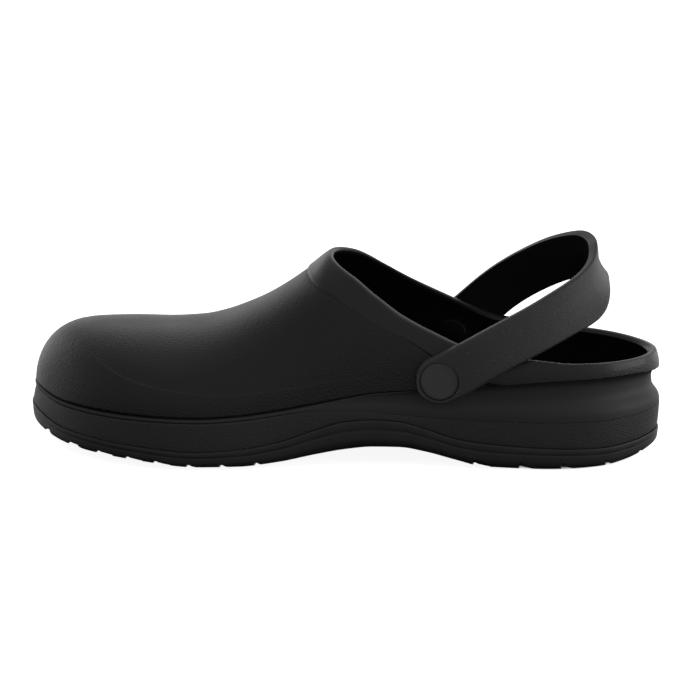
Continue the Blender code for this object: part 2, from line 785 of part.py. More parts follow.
def cut(thing, cutter):
    """Takes the cutter's shape out of a piece."""
    boolean = thing.modifiers.new(cutter.name, "BOOLEAN")
    boolean.operation = "DIFFERENCE"
    boolean.object = cutter


def new_collection(name):
    collection = bpy.data.collections.new(name)
    bpy.context.scene.collection.children.link(collection)
    return collection


def build():
    for thing in list(bpy.data.objects):
        bpy.data.objects.remove(thing)
    parts, cutters = new_collection("clog"), new_collection("cutters")
    upper = new_object("upper", loft(upper_rings()), BLACK, 0.55, parts)
    new_object("midsole", loft(midsole_rings(), cap_across), BLACK, 0.5, parts)
    outsole = new_object("outsole", loft(outsole_rings(), cap_across), RUBBER, 0.45, parts)
    new_object("insole", loft(insole_rings(), cap_across), BLACK, 0.8, parts)
    strap = new_object("heel_strap", loft(strap_rings(), cap_flat), BLACK, 0.55, parts)
    cut(outsole, lug_cutter(cutters))
    for outward, at, end in ((-1, LATERAL_RIVET, "lateral"), (1, MEDIAL_RIVET, "medial")):
        cutter = rivet(outward, at, end, parts, cutters)
        cut(upper, cutter)
        cut(strap, cutter)
    for cutter in cutters.objects:
        cutter.hide_render = True
        cutter.display_type = "WIRE"


build()
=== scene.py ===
import math

import bpy
import numpy as np
from mathutils import Matrix, Vector


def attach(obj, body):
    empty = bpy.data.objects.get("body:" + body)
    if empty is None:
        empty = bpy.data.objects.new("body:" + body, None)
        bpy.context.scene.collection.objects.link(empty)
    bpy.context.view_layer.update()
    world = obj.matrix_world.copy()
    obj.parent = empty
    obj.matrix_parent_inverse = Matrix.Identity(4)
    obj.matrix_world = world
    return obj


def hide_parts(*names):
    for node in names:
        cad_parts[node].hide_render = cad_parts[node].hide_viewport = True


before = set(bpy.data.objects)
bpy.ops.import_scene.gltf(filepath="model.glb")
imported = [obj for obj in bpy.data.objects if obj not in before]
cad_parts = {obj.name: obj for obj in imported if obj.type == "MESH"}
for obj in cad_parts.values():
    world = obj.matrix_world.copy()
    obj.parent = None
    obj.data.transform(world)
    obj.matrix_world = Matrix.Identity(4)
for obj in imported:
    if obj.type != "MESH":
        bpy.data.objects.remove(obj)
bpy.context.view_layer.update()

# OUTSOLE
# A shallow tray of black rubber, moulded on its own and bonded under the foam sole. Its edge rises
# over the waist of the foot, two ribs run round it, and grooves across the tread part its lugs.
MM = 0.001
COLUMNS = 400
TURN_WEIGHT = 70.0
SPAN_STEPS = 40
SHARP_EDGE = math.radians(38)
TRAY_WALL = 3.2
TRAY_DRAFT = 1.5
TREAD_BASE = 4.5
RIB_RINGS = 46
LUGS_AT = (-135, -122.5, -108.5, -94.5, -81.5, -66.5, -51.5, -36, 62, 83, 102, 121.5, 136)
GROOVE_TOP = 0.4
GROOVE_BEYOND = 4.0
RUBBER = (0.0165, 0.0165, 0.0172, 1)
RUBBER_ROUGH = (0.4, 0.5)
SCUFF_SIZE = 9.0
SCUFF_SHOWS = (0.35, 0.75)
SCUFF_PALER = 1.25
NOISE_SPAN = (0.3, 0.8)
PIT_SIZE = 0.5
PIT_DEPTH = 0.02


def table(names, *rows):
    """Named columns of a table, with its lengths in millimetres."""
    return dict(zip(names.split(), np.array(rows, float).T))


def rows(columns):
    """The rows of such a table, one after another."""
    return zip(*columns.values())


# Edge of the upper on the sole, from the toe tip round the outer side and back by the inner side
OUTLINE = table(
    "along across",
    (-142.4, 9.0),
    (-133.9, -15.2),
    (-115.0, -36.0),
    (-92.0, -47.5),
    (-62.0, -51.0),
    (-25.0, -45.0),
    (16.0, -39.5),
    (65.0, -38.0),
    (100.0, -36.0),
    (124.5, -27.0),
    (142.4, 0.0),
    (124.5, 27.0),
    (100.0, 36.0),
    (65.0, 38.0),
    (16.0, 37.5),
    (-25.0, 42.0),
    (-65.0, 50.0),
    (-92.0, 50.5),
    (-115.0, 44.5),
    (-133.9, 32.7),
)

# Heights of the lines round the side: tread, top of the rubber, top of the grained band, seam
# under the upper, and floor inside
SIDE = table(
    "along tread rubber band seam floor",
    (-142, 6.8, 16.6, 24.2, 26.4, 15.0),
    (-126, 4.3, 12.8, 22.4, 24.5, 14.6),
    (-108, 3.1, 11.6, 22.4, 24.5, 14.0),
    (-88, 1.8, 10.4, 22.4, 24.5, 13.4),
    (-64, 0.0, 9.0, 22.4, 24.5, 13.0),
    (-44, 0.0, 10.2, 23.4, 25.5, 13.6),
    (-26, 1.7, 13.2, 25.4, 27.6, 14.8),
    (-10, 4.5, 18.4, 27.2, 30.3, 16.2),
    (4, 6.5, 22.2, 27.4, 32.9, 17.5),
    (16, 7.5, 23.0, 26.6, 35.0, 18.6),
    (28, 7.5, 22.2, 25.4, 36.0, 19.6),
    (40, 5.8, 18.9, 24.4, 36.9, 20.5),
    (54, 2.5, 14.4, 23.6, 38.0, 21.4),
    (66, 0.0, 12.6, 23.2, 39.0, 22.0),
    (100, 0.0, 10.2, 22.4, 41.7, 22.3),
    (120, 0.0, 9.6, 22.3, 42.0, 22.4),
    (132, 1.4, 10.5, 23.0, 41.8, 22.5),
    (143, 4.8, 12.6, 24.0, 40.3, 22.5),
)

# How far the top of the grained band stands out from the seam, how far the side swells (+) or
# coves (-) between them, how far the band leans out to the rubber, how much of the rubber's ribs
# stands out, and how far the tread is tucked in under the side
SWELL = table(
    "along proud cove flare rib tuck",
    (-142, -0.4, 0.5, 1.5, 0.7, 4.5),
    (-115, 0.3, 0.5, 0.9, 0.8, 7.0),
    (-90, 0.7, 0.5, 0.6, 0.9, 13.5),
    (-60, 0.9, 0.5, 0.4, 0.9, 15.0),
    (-20, 0.7, 0.4, 0.4, 0.9, 11.0),
    (16, 0.6, -0.6, 0.3, 0.8, 14.5),
    (60, 0.3, -1.2, 0.1, 0.8, 8.5),
    (100, 0.3, -1.8, -0.1, 0.8, 4.0),
    (143, 0.9, -3.2, -1.0, 0.7, 7.0),
)

# Section of the rubber's side: share of its height, how far it stands out from the grained band,
# and share of the tuck under the foot
RIBS = table(
    "share offset tucked",
    (0.00, 0.00, 1.00),
    (0.02, 0.00, 0.80),
    (0.07, 0.00, 0.52),
    (0.14, 0.00, 0.26),
    (0.23, 0.00, 0.09),
    (0.34, 0.08, 0.02),
    (0.45, 0.22, 0.00),
    (0.55, 0.36, 0.00),
    (0.63, 0.45, 0.00),
    (0.67, 0.44, 0.00),
    (0.70, 0.42, 0.00),
    (0.73, 0.50, 0.00),
    (0.77, 0.64, 0.00),
    (0.84, 0.78, 0.00),
    (0.92, 0.82, 0.00),
    (0.97, 0.78, 0.00),
    (1.00, 0.62, 0.00),
)

# Section of a groove between two lugs, along the foot and up: steep at the front, easy at the back
GROOVE = table(
    "along up",
    (-1.2, -4.0),
    (-1.0, -0.8),
    (-0.5, -0.1),
    (0.3, 0.0),
    (1.5, -0.6),
    (4.0, -1.15),
    (7.0, -1.7),
    (7.5, -4.0),
)

# How deep the grooves are, by share of the rubber's height
GROOVE_DEPTH = table(
    "share depth",
    (0.00, 1.5),
    (0.08, 1.2),
    (0.18, 1.0),
    (0.30, 0.7),
    (0.42, 0.2),
)


def smooth_line(columns, name, measure="along"):
    """A curve through a table's column, which never overshoots between its rows."""
    x, y = columns[measure], columns[name]
    step = np.diff(x)
    slope = np.diff(y) / step
    before, after = slope[:-1], slope[1:]
    turn = before * after > 0
    mean = np.where(turn, 2 * before * after / np.where(turn, before + after, 1), 0)
    tangent = np.concatenate([slope[:1], mean, slope[-1:]])

    def at(along):
        along = np.clip(along, x[0], x[-1])
        k = np.clip(np.searchsorted(x, along, side="right") - 1, 0, len(step) - 1)
        t = (along - x[k]) / step[k]
        return (
            y[k] * (1 + 2 * t) * (1 - t) ** 2
            + y[k + 1] * t * t * (3 - 2 * t)
            + step[k] * t * (1 - t) * (tangent[k] * (1 - t) - tangent[k + 1] * t)
        )

    return at


def lines(columns):
    """A curve along the foot for each column of a table."""
    return {name: smooth_line(columns, name) for name in columns if name != "along"}


def smooth_loop(points):
    """A closed cubic spline through points, as a dense polyline."""
    count = len(points)
    chord = np.linalg.norm(np.roll(points, -1, axis=0) - points, axis=1)
    before = np.roll(chord, 1)
    system = np.zeros((count, count))
    place = np.arange(count)
    system[place, place] = 2 * (chord + before)
    system[place, (place + 1) % count] = before
    system[place, (place - 1) % count] = chord
    slope = (np.roll(points, -1, axis=0) - points) / chord[:, None]
    right = 3 * (before[:, None] * slope + chord[:, None] * np.roll(slope, 1, axis=0))
    tangent = np.linalg.solve(system, right)
    t = np.linspace(0, 1, SPAN_STEPS, endpoint=False)[None, :, None]
    start, end = points[:, None], np.roll(points, -1, axis=0)[:, None]
    leave, arrive = tangent[:, None], np.roll(tangent, -1, axis=0)[:, None]
    span = chord[:, None, None]
    dense = (
        start * (1 + 2 * t) * (1 - t) ** 2
        + end * t * t * (3 - 2 * t)
        + span * t * (1 - t) * (leave * (1 - t) - arrive * t)
    )
    return dense.reshape(-1, points.shape[1])


def lengths(points):
    """Distance along a polyline to each of its points."""
    return np.concatenate([[0], np.cumsum(np.linalg.norm(np.diff(points, axis=0), axis=1))])


def resample(points, measure, at):
    """Points of a polyline at given distances along it."""
    return np.column_stack([np.interp(at, measure, axis) for axis in points.T])


def columns_of(half):
    """Stations along one half of the outline, closer together where it turns faster."""
    heading = np.unwrap(np.arctan2(*np.gradient(half, axis=0).T[::-1]))
    turning = np.concatenate([[0], np.cumsum(np.abs(np.diff(heading)))])
    measure = lengths(half) + TURN_WEIGHT * turning
    return resample(half, measure, np.linspace(0, measure[-1], COLUMNS // 2 + 1))


def both_sides(outer, inner):
    """One loop of columns: toe tip, outer side, heel, inner side."""
    return np.vstack([outer, inner[-2:0:-1]])


loop = smooth_loop(np.column_stack([OUTLINE["along"], OUTLINE["across"]]))
toe, heel = np.argmin(loop[:, 0]), np.argmax(loop[:, 0])
loop = np.roll(loop, -toe, axis=0)
heel = (heel - toe) % len(loop)
OUTER_SIDE = loop[: heel + 1]
INNER_SIDE = np.vstack([loop[heel:], loop[:1]])[::-1]
outer_columns, inner_columns = columns_of(OUTER_SIDE), columns_of(INNER_SIDE)
SEAM_PLAN = both_sides(outer_columns, inner_columns)
STATION = SEAM_PLAN[:, 0]
tangent = np.roll(SEAM_PLAN, -1, axis=0) - np.roll(SEAM_PLAN, 1, axis=0)
OUTWARD = np.column_stack([tangent[:, 1], -tangent[:, 0]])
OUTWARD *= np.sign(np.sum(OUTWARD * (SEAM_PLAN - SEAM_PLAN.mean(axis=0)), axis=1))[:, None]
OUTWARD /= np.linalg.norm(OUTWARD, axis=1)[:, None]

side, swell = lines(SIDE), lines(SWELL)
at_side = {name: line(STATION) for name, line in side.items()}
at_swell = {name: line(STATION) for name, line in swell.items()}
tread_top = at_side["tread"] + np.minimum(
    TREAD_BASE, 0.5 * (at_side["rubber"] - at_side["tread"])
)


def ring(offset, height):
    """A ring of points, set out from the seam's outline by an offset."""
    plan = SEAM_PLAN + OUTWARD * np.broadcast_to(offset, STATION.shape)[:, None]
    return np.column_stack([plan, np.broadcast_to(height, STATION.shape)])


def piece_from(name, points, faces, marks=None):
    """A smooth mesh object in metres, with one number a point for each named mark."""
    mesh = bpy.data.meshes.new(name)
    mesh.from_pydata((np.asarray(points) * MM).tolist(), [], faces)
    for mark, values in (marks or {}).items():
        layer = mesh.attributes.new(mark, "FLOAT", "POINT")
        layer.data.foreach_set("value", np.asarray(values, np.float32).ravel())
    mesh.validate()
    mesh.shade_smooth()
    mesh.set_sharp_from_angle(angle=SHARP_EDGE)
    thing = bpy.data.objects.new(name, mesh)
    bpy.context.scene.collection.objects.link(thing)
    return thing


def loft_faces(ring_count, count, cap=None):
    """Faces between rings of equal count. A cap closes either end, or else the ends are joined."""
    faces = []
    last = ring_count if cap is None else ring_count - 1
    for i in range(last):
        low, high = i * count, (i + 1) % ring_count * count
        for j in range(count):
            k = (j + 1) % count
            faces.append((low + j, low + k, high + k, high + j))
    if cap:
        faces += [corners[::-1] for corners in cap(0, count)]
        faces += cap((ring_count - 1) * count, count)
    return faces


def cap_across(start, count):
    """Strips from one side of the foot to the other, closing a ring."""
    strips = []
    for j in range(count // 2):
        corners = (j, j + 1, (count - j - 1) % count, (count - j) % count)
        strips.append(tuple(start + corner for corner in dict.fromkeys(corners)))
    return strips


def cut_with(thing, cutter):
    """Takes the cutter's shape out of a piece, and removes the cutter."""
    boolean = thing.modifiers.new("cut", "BOOLEAN")
    boolean.operation = "DIFFERENCE"
    boolean.object = cutter
    graph = bpy.context.evaluated_depsgraph_get()
    mesh = bpy.data.meshes.new_from_object(thing.evaluated_get(graph))
    thing.modifiers.remove(boolean)
    thing.data = mesh
    bpy.data.objects.remove(cutter)
    mesh.shade_smooth()
    mesh.set_sharp_from_angle(angle=SHARP_EDGE)


class Shade:
    """A shader socket that takes part in Python's arithmetic."""

    def __init__(self, socket):
        self.socket = socket

    def node(self, kind, settings, sockets, output=0):
        """Adds a node: its type, its settings, then the values or links of its sockets."""
        tree = self.socket.id_data
        made = tree.nodes.new(kind)
        for name, value in settings.items():
            setattr(made, name, value)
        for name, value in sockets.items():
            if isinstance(value, Shade):
                tree.links.new(value.socket, made.inputs[name])
            else:
                made.inputs[name].default_value = value
        return Shade(made.outputs[output])

    def math(self, operation, first, second):
        return self.node("ShaderNodeMath", {"operation": operation}, {0: first, 1: second})

    def __add__(self, other):
        return self.math("ADD", self, other)

    def __sub__(self, other):
        return self.math("SUBTRACT", self, other)

    def __rsub__(self, other):
        return self.math("SUBTRACT", other, self)

    def __mul__(self, other):
        return self.math("MULTIPLY", self, other)

    def __gt__(self, other):
        return self.math("GREATER_THAN", self, other)

    __radd__ = __add__
    __rmul__ = __mul__

    def noise(self, size, detail=2.0):
        """Cloudy noise whose features are about size millimetres across."""
        sockets = {"Vector": self, "Scale": 1 / (size * MM), "Detail": detail}
        return self.node("ShaderNodeTexNoise", {}, sockets, "Fac")

    def cells(self, size):
        """Distance from the middle of cells about size millimetres across."""
        sockets = {"Vector": self, "Scale": 1 / (size * MM)}
        return self.node("ShaderNodeTexVoronoi", {}, sockets, "Distance")

    def part(self, axis):
        """One coordinate of a place or a direction."""
        return self.node("ShaderNodeSeparateXYZ", {}, {0: self}, axis)

    def spread(self, low, high, to_low=0.0, to_high=1.0):
        """Maps a range of values onto another one, clamped."""
        sockets = {1: low, 2: high, 3: to_low, 4: to_high}
        return self.node("ShaderNodeMapRange", {"clamp": True}, {0: self, **sockets})

    def mark(self, name):
        """The number that the mesh holds at each point under this name."""
        return self.node("ShaderNodeAttribute", {"attribute_name": name}, {}, "Fac")

    def tint(self, first, second):
        """A colour from first to second as this value goes from 0 to 1."""
        return self.node(
            "ShaderNodeMix", {"data_type": "RGBA"}, {0: self, 6: first, 7: second}, 2
        )

    def bump(self, depth, strength=1.0):
        """A normal from this value as a height, depth millimetres from 0 to 1."""
        sockets = {"Height": self, "Distance": depth * MM, "Strength": strength}
        return self.node("ShaderNodeBump", {}, sockets)


def new_finish(name, **fixed):
    """A material with its fixed values set, and the place of a point on the piece."""
    material = bpy.data.materials.new(name)
    material.use_nodes = True
    shader = material.node_tree.nodes["Principled BSDF"]
    for socket, value in fixed.items():
        shader.inputs[socket.replace("_", " ")].default_value = value
    place = Shade(material.node_tree.nodes.new("ShaderNodeTexCoord").outputs["Object"])
    return material, place


def apply_finish(material, **varying):
    """Links what varies over the surface to the shader."""
    tree = material.node_tree
    shader = tree.nodes["Principled BSDF"]
    for socket, value in varying.items():
        tree.links.new(value.socket, shader.inputs[socket.replace("_", " ")])


def paler(colour, factor):
    """A paler shade of a colour, for its worn or mottled places."""
    return tuple(factor * c for c in colour[:3]) + (1,)


def edge_across(along, inner):
    """Where the outline lies across the foot at a station."""
    half = INNER_SIDE if inner else OUTER_SIDE
    return np.interp(along, half[:, 0], half[:, 1])


def lug_bars():
    """Bars across the tread that cut the grooves between the lugs, and run out at its sides."""
    count = len(GROOVE["along"])
    points, faces = [], []
    for along in LUGS_AT:
        low, high = float(side["tread"](along)), float(side["rubber"](along))
        stand, under = (float(swell[name](along)) for name in ("proud", "tuck"))
        stand += float(swell["flare"](along))
        roof = []
        for inner, outward in ((False, -1), (True, 1)):
            edge = outward * float(edge_across(along, inner)) + stand
            half = []
            for share, depth in rows(GROOVE_DEPTH):
                beyond = GROOVE_BEYOND * (share > GROOVE_TOP)
                out = edge - under * float(rib_tuck(share)) + beyond
                half.append((outward * out, low + (high - low) * share + depth))
            roof += half if inner else half[::-1]
        start = len(points)
        for across, height in roof:
            points += [(along + x, across, height + z) for x, z in rows(GROOVE)]
        stations = len(roof)
        faces.append(tuple(start + k for k in reversed(range(count))))
        faces.append(tuple(start + (stations - 1) * count + k for k in range(count)))
        for s in range(stations - 1):
            for k in range(count):
                n = (k + 1) % count
                a, b = start + s * count, start + (s + 1) * count
                faces.append((a + k, a + n, b + n, b + k))
    return piece_from("lug_bars", points, faces)


rib_tuck = smooth_line(RIBS, "tucked", "share")
rib_run = np.linspace(0, len(RIBS["share"]) - 1, RIB_RINGS)
rib_rows = {"row": np.arange(len(RIBS["share"]), dtype=float), **RIBS}
rib_share, rib_offset, rib_tucked = (
    smooth_line(rib_rows, name, "row")(rib_run) for name in ("share", "offset", "tucked")
)
tread, rubber_top = at_side["tread"], at_side["rubber"]
proud, tuck = at_swell["proud"], at_swell["tuck"]
stands = proud + at_swell["flare"]
tray = [
    ring(stands + at_swell["rib"] * offset - tuck * tucked, tread + (rubber_top - tread) * share)
    for share, offset, tucked in zip(rib_share, rib_offset, rib_tucked)
]
tray.append(ring(stands - TRAY_WALL, rubber_top))
tray.append(ring(stands - TRAY_WALL - TRAY_DRAFT, tread_top))
outsole = piece_from(
    "outsole_rubber", np.concatenate(tray), loft_faces(len(tray), COLUMNS, cap_across)
)
cut_with(outsole, lug_bars())

rubber, place = new_finish("satin_rubber", Specular_IOR_Level=0.35)
scuff = place.noise(SCUFF_SIZE, detail=5.0)
apply_finish(
    rubber,
    Base_Color=scuff.spread(*SCUFF_SHOWS).tint(RUBBER, paler(RUBBER, SCUFF_PALER)),
    Roughness=scuff.spread(*NOISE_SPAN, *RUBBER_ROUGH),
    Normal=place.noise(PIT_SIZE, detail=3.0).bump(PIT_DEPTH),
)
outsole.data.materials.append(rubber)
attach(outsole, "root")
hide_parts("outsole")

# SOLE UNIT
# The foam midsole, moulded as a shallow cup that carries the upper on its rim. Under the seam runs
# a smooth bead, which widens into a polished cove round the heel, over a band of fine grain.
GAP = 0.3
SEAM_GAP = 0.06
RIM_BACK = 0.7
RIM_DEPTH = 2.5
BEAD_ROUND = 0.6
BAND_SWELL = 0.5
LINE_DEPTH = 0.38
LINE_HIGH = 0.25
COVE_AT = 0.42
COVE_END = 0.85
COVE_STEP = 5
FOAM = (0.0135, 0.0135, 0.0142, 1)
FOAM_PALER = 1.2
FOAM_ROUGH = (0.5, 0.56)
POLISH_ROUGHER = 0.04
# Painted shade: the dull black that faces inside the shoe show in place of their finish
PAINTED_SHADE_INSIDE = (0.006, 0.006, 0.0066, 1)
MOTTLE_SIZE = 14.0
MOTTLE_SHOWS = (0.3, 0.75)
GRIT_SIZE = 0.65
GRIT_DEPTH = 0.18
PORE_SIZE = 0.5
PORE_SHARE = 0.5
GRAIN_STRENGTH = 0.8

# Where along the foot the seam's edges, the grained band's step and the line over the band fade,
# and the seam's tuck and the band's step at those stations
FEATHER_FADE = (5.0, 50.0)
SEAM_TUCK = (0.55, 0.2)
BAND_FADE = (-140.0, -95.0, -45.0, -5.0)
BAND_STEP = (0.15, 0.35, 0.35, 0.0)
LINE_FADE = (-5.0, -45.0)

# Rings of the side, by share of the height from the grained band to the seam
SIDE_SHARES = (
    1.0, 0.99, 0.97, 0.94, 0.9, 0.85, 0.78, 0.7, 0.62,
    0.54, 0.46, 0.38, 0.3, 0.22, 0.14, 0.07, 0.02,
)

# Section of the grained band: share of its height, share of its step left out, and how far its
# foot turns in
BAND = table(
    "share stepped turned_in",
    (1.0, 1.0, 0.0),
    (0.985, 0.3, 0.0),
    (0.96, 0.0, 0.0),
    (0.9, 0.0, 0.0),
    (0.75, 0.0, 0.0),
    (0.5, 0.0, 0.0),
    (0.25, 0.0, 0.0),
    (0.08, 0.0, 0.0),
    (0.03, 0.0, 0.06),
    (0.0, 0.0, 0.2),
)

# Thickness of the cup's wall, and its inside: how far in from the wall and up from the floor
CUP_WALL = table(
    "along wall",
    (-142, 2.7),
    (10, 2.8),
    (40, 3.2),
    (68, 3.7),
    (89, 3.8),
    (143, 3.8),
)
CUP = table(
    "inset rise",
    (6.0, 0.0),
    (3.4, 0.4),
    (2.2, 1.2),
    (1.4, 2.4),
    (0.8, 4.0),
)


def smoothstep(value, start, end):
    """0 at start, 1 at end, with level ends."""
    value = np.clip((value - start) / (end - start), 0, 1)
    return value * value * (3 - 2 * value)


def cove_depth(share):
    """Share of the cove's depth: a step under the seam, then easing out again to the band."""
    down = 1 - share
    if down < COVE_AT:
        return 1 - (1 - down / COVE_AT) ** COVE_STEP
    return (1 + math.cos(math.pi * min((down - COVE_AT) / (COVE_END - COVE_AT), 1))) / 2


def paint_shade_inside(material, share, colour):
    """Painted shade: a dull black where share is 1, on faces inside that hardly see the light."""
    nodes = material.node_tree.nodes
    skin = Shade(nodes["Principled BSDF"].outputs[0])
    painted_shade = share.node("ShaderNodeBsdfDiffuse", {}, {"Color": colour})
    shown = share.node("ShaderNodeMixShader", {}, {0: share, 1: skin, 2: painted_shade})
    material.node_tree.links.new(shown.socket, nodes["Material Output"].inputs["Surface"])


cup_wall = lines(CUP_WALL)["wall"](STATION)
floor, seam = at_side["floor"], at_side["seam"] - SEAM_GAP
band, rim_of_rubber = at_side["band"], at_side["rubber"] + SEAM_GAP
cove = at_swell["cove"]
line_depth = LINE_DEPTH * smoothstep(STATION, *LINE_FADE)
seam_tuck = np.interp(STATION, FEATHER_FADE, SEAM_TUCK)
band_step = np.interp(STATION, BAND_FADE, BAND_STEP)
cup = [ring(-cup_wall - inset, floor + rise) for inset, rise in rows(CUP)]
cup.append(ring(-cup_wall + RIM_BACK, seam - RIM_DEPTH))
cup.append(ring(-cup_wall + RIM_BACK, seam))
polish = [0.0] * len(cup)
# The cup's inner faces take the painted shade
cup_painted_shade = [1.0] * len(cup)
for share in SIDE_SHARES:
    bow = np.where(cove < 0, cove_depth(share), 4 * share * (1 - share))
    edge = (seam - band) * (1 - share)
    tucked = seam_tuck * np.clip(1 - edge / BEAD_ROUND, 0, 1) ** 2
    foot = line_depth * smoothstep(share, LINE_HIGH, 0.0)
    cup.append(
        ring(proud * (1 - share) - tucked + cove * bow - foot, band + (seam - band) * share)
    )
    polish.append(1.0)
for share, stepped, turned_in in rows(BAND):
    height = rim_of_rubber + (band - rim_of_rubber) * share
    back = stepped * band_step + turned_in
    swelling = band_step + BAND_SWELL * share * (1 - share) - back
    cup.append(ring(proud + (stands - proud) * (1 - share) + swelling, height))
    polish.append(0.0)
in_tray = stands - TRAY_WALL - GAP
cup.append(ring(in_tray, rim_of_rubber))
cup.append(ring(in_tray - TRAY_DRAFT, tread_top + GAP))
polish += [0.0, 0.0]
cup_painted_shade += [0.0] * (len(cup) - len(cup_painted_shade))
midsole = piece_from(
    "sole_unit",
    np.concatenate(cup),
    loft_faces(len(cup), COLUMNS, cap_across),
    {"polish": np.repeat(polish, COLUMNS), "inside": np.repeat(cup_painted_shade, COLUMNS)},
)

sole_foam, place = new_finish("grained_sole_foam", Specular_IOR_Level=0.4)
polished = place.mark("polish")
grit = place.cells(GRIT_SIZE) + place.noise(PORE_SIZE) * PORE_SHARE
mottle = place.noise(MOTTLE_SIZE, detail=4.0)
apply_finish(
    sole_foam,
    Base_Color=mottle.spread(*MOTTLE_SHOWS).tint(FOAM, paler(FOAM, FOAM_PALER)),
    Roughness=polished * POLISH_ROUGHER + mottle.spread(*NOISE_SPAN, *FOAM_ROUGH),
    Normal=(grit * (1 - polished)).bump(GRIT_DEPTH, GRAIN_STRENGTH),
)
# Painted shade on the cup's inner faces
paint_shade_inside(sole_foam, place.mark("inside"), PAINTED_SHADE_INSIDE)
midsole.data.materials.append(sole_foam)
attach(midsole, "root")
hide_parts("midsole")

# INSOLE
# A loose footbed of soft foam with a dull skin, die-cut to the cup's floor and laid in it. Its edge
# turns up a little against the wall.
FOOTBED = table(
    "inset rise",
    (6.6, 0.3),
    (4.2, 0.7),
    (2.7, 1.5),
    (1.7, 2.8),
    (1.3, 4.0),
    (1.5, 4.45),
    (2.1, 4.65),
    (3.0, 4.6),
    (5.0, 4.4),
    (8.0, 4.3),
    (14.0, 4.25),
)
LINING = (0.002, 0.002, 0.0023, 1)
LINING_PALER = 1.6
LINING_ROUGH = (0.75, 0.9)
NAP_SIZE = 0.8
NAP_SHOWS = (0.3, 0.7)
NAP_SPAN = (0.2, 0.8)
NAP_DEPTH = 0.12
DIMPLE_SIZE = 1.6
DIMPLE_SHARE = 0.5
bed = [ring(-cup_wall - inset, floor + rise) for inset, rise in rows(FOOTBED)]
insole = piece_from(
    "footbed", np.concatenate(bed), loft_faces(len(bed), COLUMNS, cap_across)
)

bed_skin, place = new_finish("dull_footbed", Specular_IOR_Level=0.04)
nap = place.noise(NAP_SIZE, detail=4.0)
apply_finish(
    bed_skin,
    Base_Color=nap.spread(*NAP_SHOWS).tint(LINING, paler(LINING, LINING_PALER)),
    Roughness=nap.spread(*NAP_SPAN, *LINING_ROUGH),
    Normal=(nap + place.cells(DIMPLE_SIZE) * DIMPLE_SHARE).bump(NAP_DEPTH),
)
insole.data.materials.append(bed_skin)
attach(insole, "root")
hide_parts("insole")

# UPPER
# One moulded shell of black foam with a leather grain. A toe guard is a low step round the front,
# a raised band runs round the collar in a coarser grain, and the collar's edge is rounded.
TOE_CENTRE = (-100.0, 4.0)
HEEL_CENTRE = (105.0, 0.0)
TOE_BLEND = (-80.0, -115.0)
HEEL_BLEND = (90.0, 120.0)
RIDGE_CENTRED = 20.0
TOE_FULLNESS = 4.0
TOE_SLOPE = 1.85
NOSE = 34.0
THROAT = -6.5
COLLAR_STEPS = 400
CLIMB_STEPS = 260
CLIMB_EASE = 3
GUARD_STEP = 0.6
GUARD_MOST = 0.3
CUFF_STEP = 0.75
CUFF_LEAST = 0.6
STEP_RUN = 0.55
STEP_MOST = 0.05
CREASE = 0.3
CREASE_WIDTH = 0.35
FEATHER_ROUND = (1.0, 0.25)
FEATHER_RUN = 1.6
FEATHER_MOST = 0.5
FEATHER_STOPS = (0, 0.04, 0.12, 0.25, 0.45, 0.7)
WALL_RINGS = (12, 7, 30, 13)
CUFF_RINGS = 10
INSIDE_EVERY = 3
LIP_HEIGHT = 1.0
LIP_FULLER = 0.65
LIP_BELOW = 3
LIP_TURN = 15
SHELL = (0.0082, 0.0082, 0.0088, 1)
SHELL_PALE = (0.0098, 0.0098, 0.0104, 1)
SHELL_ROUGH = (0.38, 0.44)
SHELL_MOTTLE = 18.0
GRAIN_SIZE = 0.85
GRAIN_DEPTH = 0.2
CUFF_GRAIN = 0.95
CUFF_DEEPER = 1.1
CUFF_PORES = 0.6
CUFF_SHARE = 0.55
CUFF_COAT = 0.12
INSIDE_SMOOTH = 0.7

# The lip from its outer edge to its inner one: how dark its painted shade turns inside, fading out
# to the heel, and how far its top takes a paler painted highlight, where its edge lies lower
LIP_DARKER = (-1.6, 1.6)
DARKER_FADE = (78.0, 50.0)
RIM_PAINTED_HIGHLIGHT = (0.1, 0.1, 0.099, 1)
HIGHLIGHT_RISE = (-0.2, 5.8)
HIGHLIGHT_DROP = 1.6

# The vault over the foot: height of its ridge and fullness of its cross-section
VAULT = table(
    "along ridge fullness",
    (-100, 54.6, 2.5),
    (-84, 54.6, 2.45),
    (-66, 56.4, 2.35),
    (-56, 59.2, 2.3),
    (-46, 63.4, 2.25),
    (-36, 68.5, 2.2),
    (-26, 75.0, 2.15),
    (-15, 83.4, 2.1),
    (-6.5, 90.2, 2.1),
    (6, 95.0, 2.1),
    (16, 96.4, 2.1),
    (28, 93.0, 2.1),
    (40, 86.4, 2.1),
    (54, 79.4, 2.1),
    (68, 73.4, 2.1),
    (90, 69.4, 2.1),
    (143, 65.4, 2.1),
)

# The collar: height of its lip's outer edge, how much lower that lies on the outer side, width
# of the raised band, share of the band's step, and thickness of the wall
COLLAR = table(
    "along height drop band step wall",
    (-6.5, 90.2, 0.0, 13.0, 1.0, 2.7),
    (4, 86.3, 1.6, 12.0, 0.6, 2.7),
    (16, 78.4, 1.6, 10.5, 0.2, 2.8),
    (28, 71.4, 3.2, 9.5, 0.15, 3.0),
    (40, 65.5, 3.2, 9.0, 0.25, 3.2),
    (54, 58.7, 2.4, 11.0, 0.6, 3.6),
    (68, 53.0, 0.8, 15.0, 1.0, 3.7),
    (89, 50.8, 0.0, 15.0, 1.0, 3.8),
    (106, 48.8, 0.0, 15.0, 1.0, 3.8),
    (120, 48.2, 0.0, 15.0, 1.0, 3.8),
    (143, 47.5, 0.0, 15.0, 1.0, 3.8),
)

